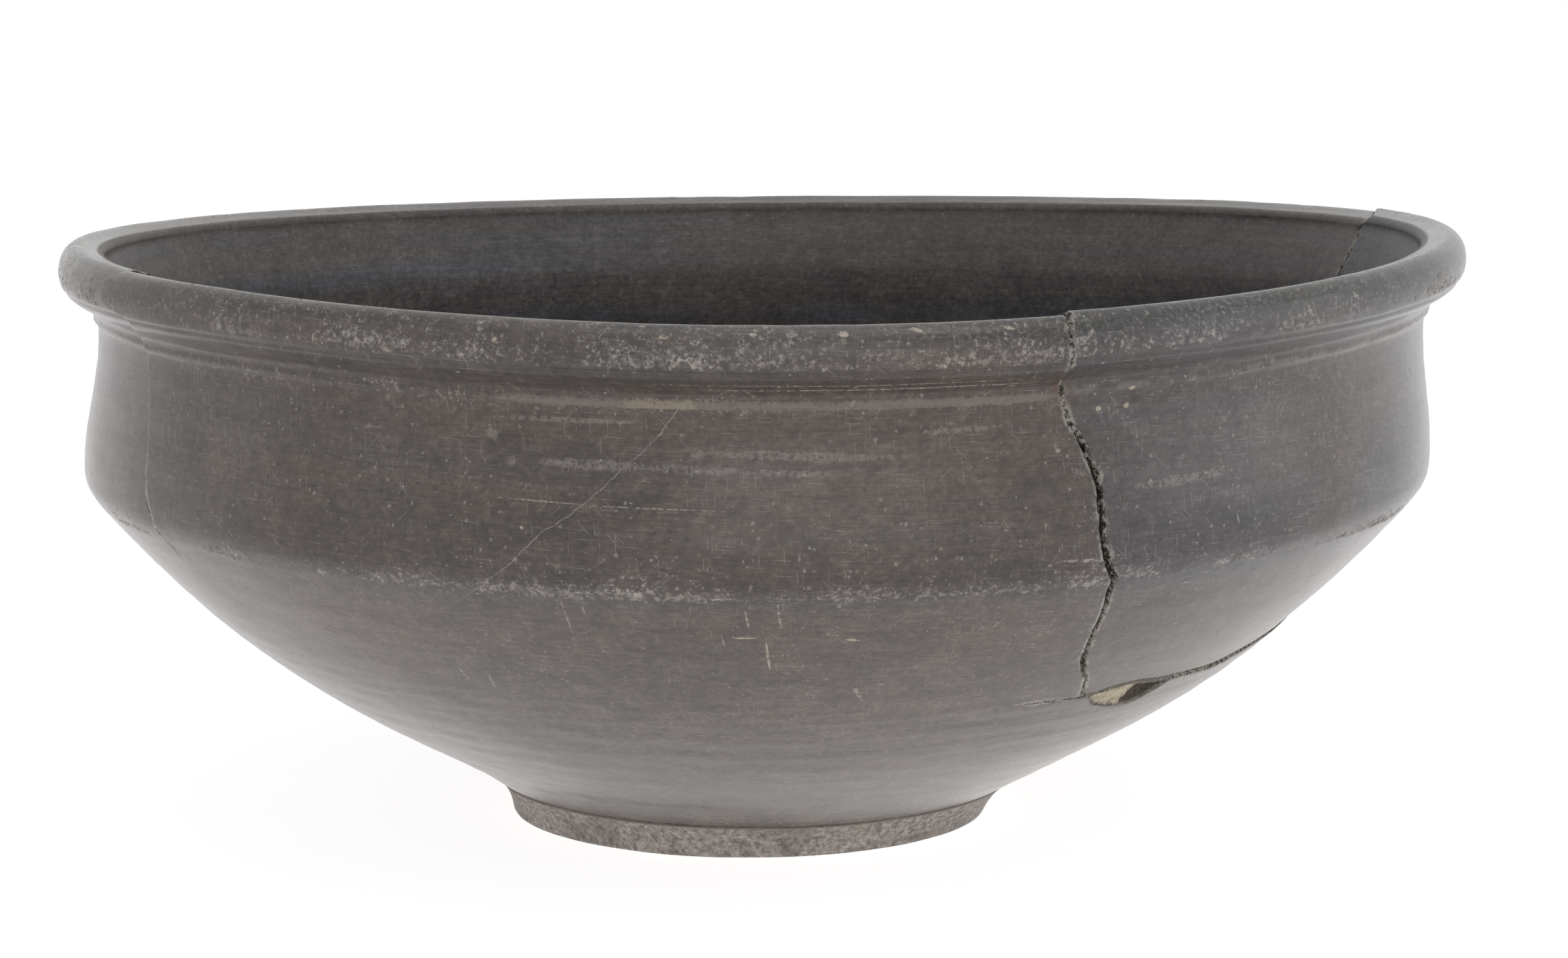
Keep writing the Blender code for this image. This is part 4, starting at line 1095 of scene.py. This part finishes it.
def lay_shadowed_crack(bowl):
    """Inside a crack: near-black painted shadow of the gap with dark earth, crumbs, and worn clay along its
    edge.
    """
    def lay(bench):
        ground = bench.use("fired_clay_and_shade", {}, None)
        place, flat = bench.place(), bench.flat()
        dust = bench.noise(place, 1000.0, 4.0, 0.7)
        # Near-black painted shadow of the gap, flecked with dark earth
        colour = bench.blend(bench.step(dust, 0.35, 0.7), CRACK_SHADOW, CRACK_EARTH)
        # Crumbs: most near the meeting of the cracks, and in clots further up
        bend = bowl.starts["lower_wall end"]
        by_height = bench.profile([(bend - 44 * MM, 0.8), (bend - 31 * MM, 0.9), (bend - 24 * MM, 0.6),
                                   (bend - 8 * MM, 0.5), (bend, 0.9), (bend + 4 * MM, 0.5),
                                   (bend + 17 * MM, 0.45), (bend + 20 * MM, 0.9),
                                   (bend + 25 * MM, 0.35), (bend + 34 * MM, 0.8)])
        clots = bench.scaled(bench.noise(flat, 330.0, 2.0), 0.9, bench.sum("ADD", by_height, -0.5))
        crumbs = bench.use("frost", {"Place": place, "Grains per metre": 1500.0, "Amount": clots})
        light = bench.blend(bench.step(dust, 0.4, 0.6), PALE_CRUMB, OLIVE_CRUMB)
        colour = bench.blend(bench.product(crumbs, 0.9), colour, light)
        edge = bench.sum("ADD", bench.noise(place, 1000.0, 3.0, 0.7), bench.fact("crack_edge"))
        worn = bench.blend(bench.step(dust, 0.44, 0.58), ground["Colour"], PALE_ASH)
        colour = bench.blend(bench.step(edge, 0.3, 0.44), colour, worn)
        height = bench.scaled(dust, 2.5, crumbs)
        return {"Colour": colour, "Roughness": bench.step(dust, 0.0, 1.0, 0.8, 0.95), "Height": height}
    return lay


def lay_bare_clay(bench):
    """Inside of the flake: cream clay with small holes, and dark burnt clay where it goes deeper."""
    ground = bench.use("fired_clay_and_shade", {}, None)
    place = bench.place()
    grain = bench.noise(place, 1500.0, 4.0, 0.72)
    cloud = bench.noise(place, 420.0, 3.0, 0.6)
    cream = bench.blend(bench.step(grain, 0.3, 0.62), DULL_CREAM, BRIGHT_CREAM)
    cream = bench.blend(bench.step(cloud, 0.48, 0.68, 0.0, 0.6), cream, STAINED_CREAM)
    holes = bench.use("speckle", {"Place": place, "Cells per metre": 1700.0, "Share": 0.22, "Width": 0.4})
    cream = bench.blend(bench.product(holes, 0.75), cream, CREAM_HOLE)
    dark = bench.blend(bench.step(grain, 0.3, 0.7), BURNT_CLAY, BURNT_GRAIN)
    crumbs = bench.use("frost", {"Place": place, "Grains per metre": 1900.0, "Amount": 0.5})
    dark = bench.blend(bench.product(crumbs, 0.5), dark, BURNT_CRUMB)
    share = bench.step(bench.scaled(cloud, 0.9, bench.fact("cream")), 0.82, 1.05)
    clay = bench.blend(share, dark, cream)
    depth = bench.fact("flake")
    rim = bench.step(bench.scaled(grain, 1.6, depth), 1.6, 1.1)
    ashen = bench.blend(bench.step(grain, 0.35, 0.65), DARK_ASH, PALE_ASH)
    clay = bench.blend(bench.product(rim, 0.9), clay, ashen)
    inside = bench.step(bench.scaled(grain, 0.8, depth), 0.42, 0.6)
    worn = bench.blend(bench.step(grain, 0.35, 0.65, 0.1, 0.7), ground["Colour"], FLAKE_EDGE)
    colour = bench.blend(inside, worn, clay)
    height = bench.scaled(grain, 3.0, bench.product(holes, -1.5))
    return {"Colour": colour, "Roughness": bench.step(grain, 0.0, 1.0, 0.75, 0.95), "Height": height}


def lay_worn_foot(bowl):
    """Foot: the ware rubbed rough, with dense pale grains, pale patches and dark chips below."""
    def lay(bench):
        ground = bench.use("fired_clay_and_shade", {}, None)
        place, flat = bench.place(), bench.flat()
        grain = bench.noise(place, 900.0, 4.0, 0.72)
        pale = bench.use("patches", {"Place": place, "Patches per metre": 110.0, "Low": 0.46, "High": 0.7})
        dark = bench.use("patches", {"Place": place, "Patches per metre": 75.0, "Low": 0.5, "High": 0.7})
        rubbed = bench.blend(bench.step(grain, 0.25, 0.75), FOOT_DARK, FOOT_PALE)
        rubbed = bench.blend(bench.product(dark, 0.4), rubbed, FOOT_CHIP)
        rubbed = bench.blend(bench.product(pale, 0.3), rubbed, FOOT_PATCH)
        crumbs = bench.use("frost", {"Place": place, "Grains per metre": 1300.0, "Amount": 0.62})
        rubbed = bench.blend(bench.product(crumbs, 0.35), rubbed, FOOT_CRUMB)
        ragged = bench.scaled(grain, 1.2, -0.6)
        spots = bench.product(mark_value(bench, flat, ragged, FOOT_MARKS, bowl),
                              bench.step(grain, 0.3, 0.55))
        rubbed = bench.blend(bench.product(spots, 0.8), rubbed, FOOT_SPOT)
        length = bench.put("SeparateXYZ", {0: flat}, 1)
        top = bowl.starts["foot_edge"]
        share = bench.step(bench.scaled(ragged, 0.9 * MM, length), top - 0.4 * MM, top + 0.5 * MM)
        colour = bench.blend(share, rubbed, ground["Colour"])
        height = bench.scaled(grain, 2.4, bench.product(crumbs, 0.5))
        return {"Colour": colour, "Roughness": bench.step(grain, 0.0, 1.0, 0.55, 0.85), "Height": height}
    return lay


def materials(bowl):
    """Node groups first, then the four finishes of the skin."""
    mask = {"Mask": "Float"}
    node_group("speckle", {"Place": ("Vector", None), "Cells per metre": ("Float", 1000.0),
                           "Share": ("Float", 0.2), "Width": ("Float", 0.8)}, mask, lay_speckle)
    node_group("scratches", {"Flat place": ("Vector", None), "Heading": ("Float", 0.0),
                             "Length": ("Float", 0.006), "Spread": ("Float", 0.0015),
                             "Width": ("Float", 0.0001), "Share": ("Float", 0.05)}, mask, lay_scratches)
    node_group("mark", {"Flat place": ("Vector", None), "Middle": ("Vector", None),
                        "Turn": ("Vector", None), "Half size": ("Vector", None),
                        "Ragged": ("Float", 0.0)}, mask, lay_mark)
    node_group("frost", {"Place": ("Vector", None), "Grains per metre": ("Float", 1100.0),
                         "Amount": ("Float", 0.3)}, {"Mask": "Float", "Grain": "Float"}, lay_frost)
    node_group("patches", {"Place": ("Vector", None), "Patches per metre": ("Float", 30.0),
                           "Low": ("Float", 0.5), "High": ("Float", 0.7)}, mask, lay_patches)
    node_group("fired_clay_and_shade", {}, {"Colour": "Color", "Height": "Float", "Cloud": "Float", "Mottle": "Float",
                                  "Fleck": "Float"}, lay_ground(bowl))
    node_group("worn_ware", {"Colour": ("Color", None), "Cloud": ("Float", 0.5), "Mottle": ("Float", 0.5),
                             "Fleck": ("Float", 0.5)},
               {"Colour": "Color", "Roughness": "Float", "Gloss": "Float"}, lay_ware(bowl))
    return [finish_material("grey_ware", 0.06 * MM, lay_grey_ware),
            finish_material("shadowed_crack", 0.1 * MM, lay_shadowed_crack(bowl)),
            finish_material("bare_clay", 0.12 * MM, lay_bare_clay),
            finish_material("worn_foot", 0.12 * MM, lay_worn_foot(bowl))]


def seen_rays(tree, rays):
    """Greatest of camera, glossy and transmission: the rays that show the white surroundings."""
    greatest = rays.outputs["Is Camera Ray"]
    for kind in ("Is Glossy Ray", "Is Transmission Ray"):
        node = tree.nodes.new("ShaderNodeMath")
        node.operation = "MAXIMUM"
        tree.links.new(greatest, node.inputs[0])
        tree.links.new(rays.outputs[kind], node.inputs[1])
        greatest = node.outputs[0]
    return greatest


def pale_floor():
    """White floor that keeps a faint shadow: to the camera mostly its own white, to the object plain."""
    bpy.ops.mesh.primitive_plane_add(size=FLOOR_SIZE, location=(0.0, 0.0, -FLOOR_DROP))
    floor = bpy.context.object
    floor.name = "floor"
    material = bpy.data.materials.new("pale_floor")
    material.use_nodes = True
    tree = material.node_tree
    tree.nodes.clear()
    output = tree.nodes.new("ShaderNodeOutputMaterial")
    mix = tree.nodes.new("ShaderNodeMixShader")
    rays = tree.nodes.new("ShaderNodeLightPath")
    glow = tree.nodes.new("ShaderNodeEmission")
    glow.inputs["Color"].default_value = FLOOR_TINT
    glow.inputs["Strength"].default_value = FLOOR_GLOW
    own = tree.nodes.new("ShaderNodeEmission")
    own.inputs["Color"].default_value = WHITE
    own.inputs["Strength"].default_value = FLOOR_WHITE
    matt = tree.nodes.new("ShaderNodeBsdfDiffuse")
    matt.inputs["Color"].default_value = FLOOR_MATT
    both = tree.nodes.new("ShaderNodeAddShader")
    tree.links.new(matt.outputs[0], both.inputs[0])
    tree.links.new(own.outputs[0], both.inputs[1])
    tree.links.new(glow.outputs[0], mix.inputs[1])
    tree.links.new(both.outputs[0], mix.inputs[2])
    tree.links.new(seen_rays(tree, rays), mix.inputs["Fac"])
    tree.links.new(mix.outputs[0], output.inputs[0])
    floor.data.materials.append(material)


def soft_light():
    """White room all round, and broad lamps from above and from both sides."""
    world = bpy.data.worlds.new("white_room")
    bpy.context.scene.world = world
    world.use_nodes = True
    tree = world.node_tree
    tree.nodes.clear()
    output = tree.nodes.new("ShaderNodeOutputWorld")
    room = tree.nodes.new("ShaderNodeBackground")
    room.inputs["Strength"].default_value = ROOM_LIGHT
    room.inputs["Color"].default_value = WHITE
    white = tree.nodes.new("ShaderNodeBackground")
    white.inputs["Color"].default_value = WHITE
    rays = tree.nodes.new("ShaderNodeLightPath")
    mix = tree.nodes.new("ShaderNodeMixShader")
    tree.links.new(seen_rays(tree, rays), mix.inputs["Fac"])
    tree.links.new(room.outputs[0], mix.inputs[1])
    tree.links.new(white.outputs[0], mix.inputs[2])
    tree.links.new(mix.outputs[0], output.inputs[0])
    for name, place, size, power in LAMPS:
        lamp = bpy.data.lights.new(name, "AREA")
        lamp.shape = "DISK"
        lamp.size = size
        lamp.energy = power
        holder = bpy.data.objects.new(name, lamp)
        forward = -np.array(place) + np.array([0, 0, LAMP_AIM_HEIGHT])
        holder.rotation_euler = Vector(forward).to_track_quat("-Z", "Y").to_euler()
        holder.location = place
        bpy.context.scene.collection.objects.link(holder)


def picture_camera():
    """Camera at the height and distance of the picture, turned a little right so the bowl sits left."""
    data = bpy.data.cameras.new("camera")
    data.lens = LENS
    data.sensor_width = SENSOR
    camera = bpy.data.objects.new("camera", data)
    bpy.context.scene.collection.objects.link(camera)
    down, right, roll = np.radians(CAMERA_ANGLES)
    turn = (Matrix.Rotation(-right, 4, "Z") @ Matrix.Rotation(np.pi / 2 - down, 4, "X")
            @ Matrix.Rotation(roll, 4, "Z"))
    camera.matrix_world = Matrix.Translation(CAMERA_PLACE) @ turn
    bpy.context.scene.camera = camera


def finishes(bowl, lengths, facts):
    """Number of the finish of each face, from the mean of its four corners' facts."""
    def at_faces(values):
        """Mean of the values at the four corners of each square."""
        following = np.roll(values, -1, axis=0)
        return 0.25 * (values[:, :-1] + values[:, 1:] + following[:, :-1] + following[:, 1:]).ravel()

    number = np.zeros(lengths[:, 1:].size, dtype=np.int32)
    number[at_faces(lengths) < bowl.starts["foot_edge"] + FOOT_FINISH_REACH] = WORN_FOOT
    number[at_faces(facts["flake"]) > BARE_CLAY_FROM] = BARE_CLAY
    # Faces deep in a crack take the painted shadow of the gap, with its crumbs
    in_crack = at_faces(facts["crack_edge"]) < CRACK_SHADE_REACH
    number[in_crack & (at_faces(facts["flake"]) < CRACK_SHADE_TO_FLAKE)] = SHADOWED_CRACK
    fans = [np.full(lengths.shape[0], WORN_FOOT), np.full(lengths.shape[0], GREY_WARE)]
    return np.concatenate([number, *fans]).astype(np.int32)


def main():
    """The bowl with its finishes in the place of the solid, then the floor, the light and the camera."""
    bowl, turned, lengths, points, facts = skin()
    mesh = closed_grid("cracked_bowl", turned, lengths, points, facts)
    for material in materials(bowl):
        mesh.materials.append(material)
    mesh.polygons.foreach_set("material_index", finishes(bowl, lengths, facts))
    piece = bpy.data.objects.new("cracked_bowl", mesh)
    bpy.context.scene.collection.objects.link(piece)
    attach(piece, "root")
    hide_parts("bowl")

    pale_floor()
    soft_light()
    picture_camera()
    bpy.context.scene.view_settings.view_transform = "Standard"


main()
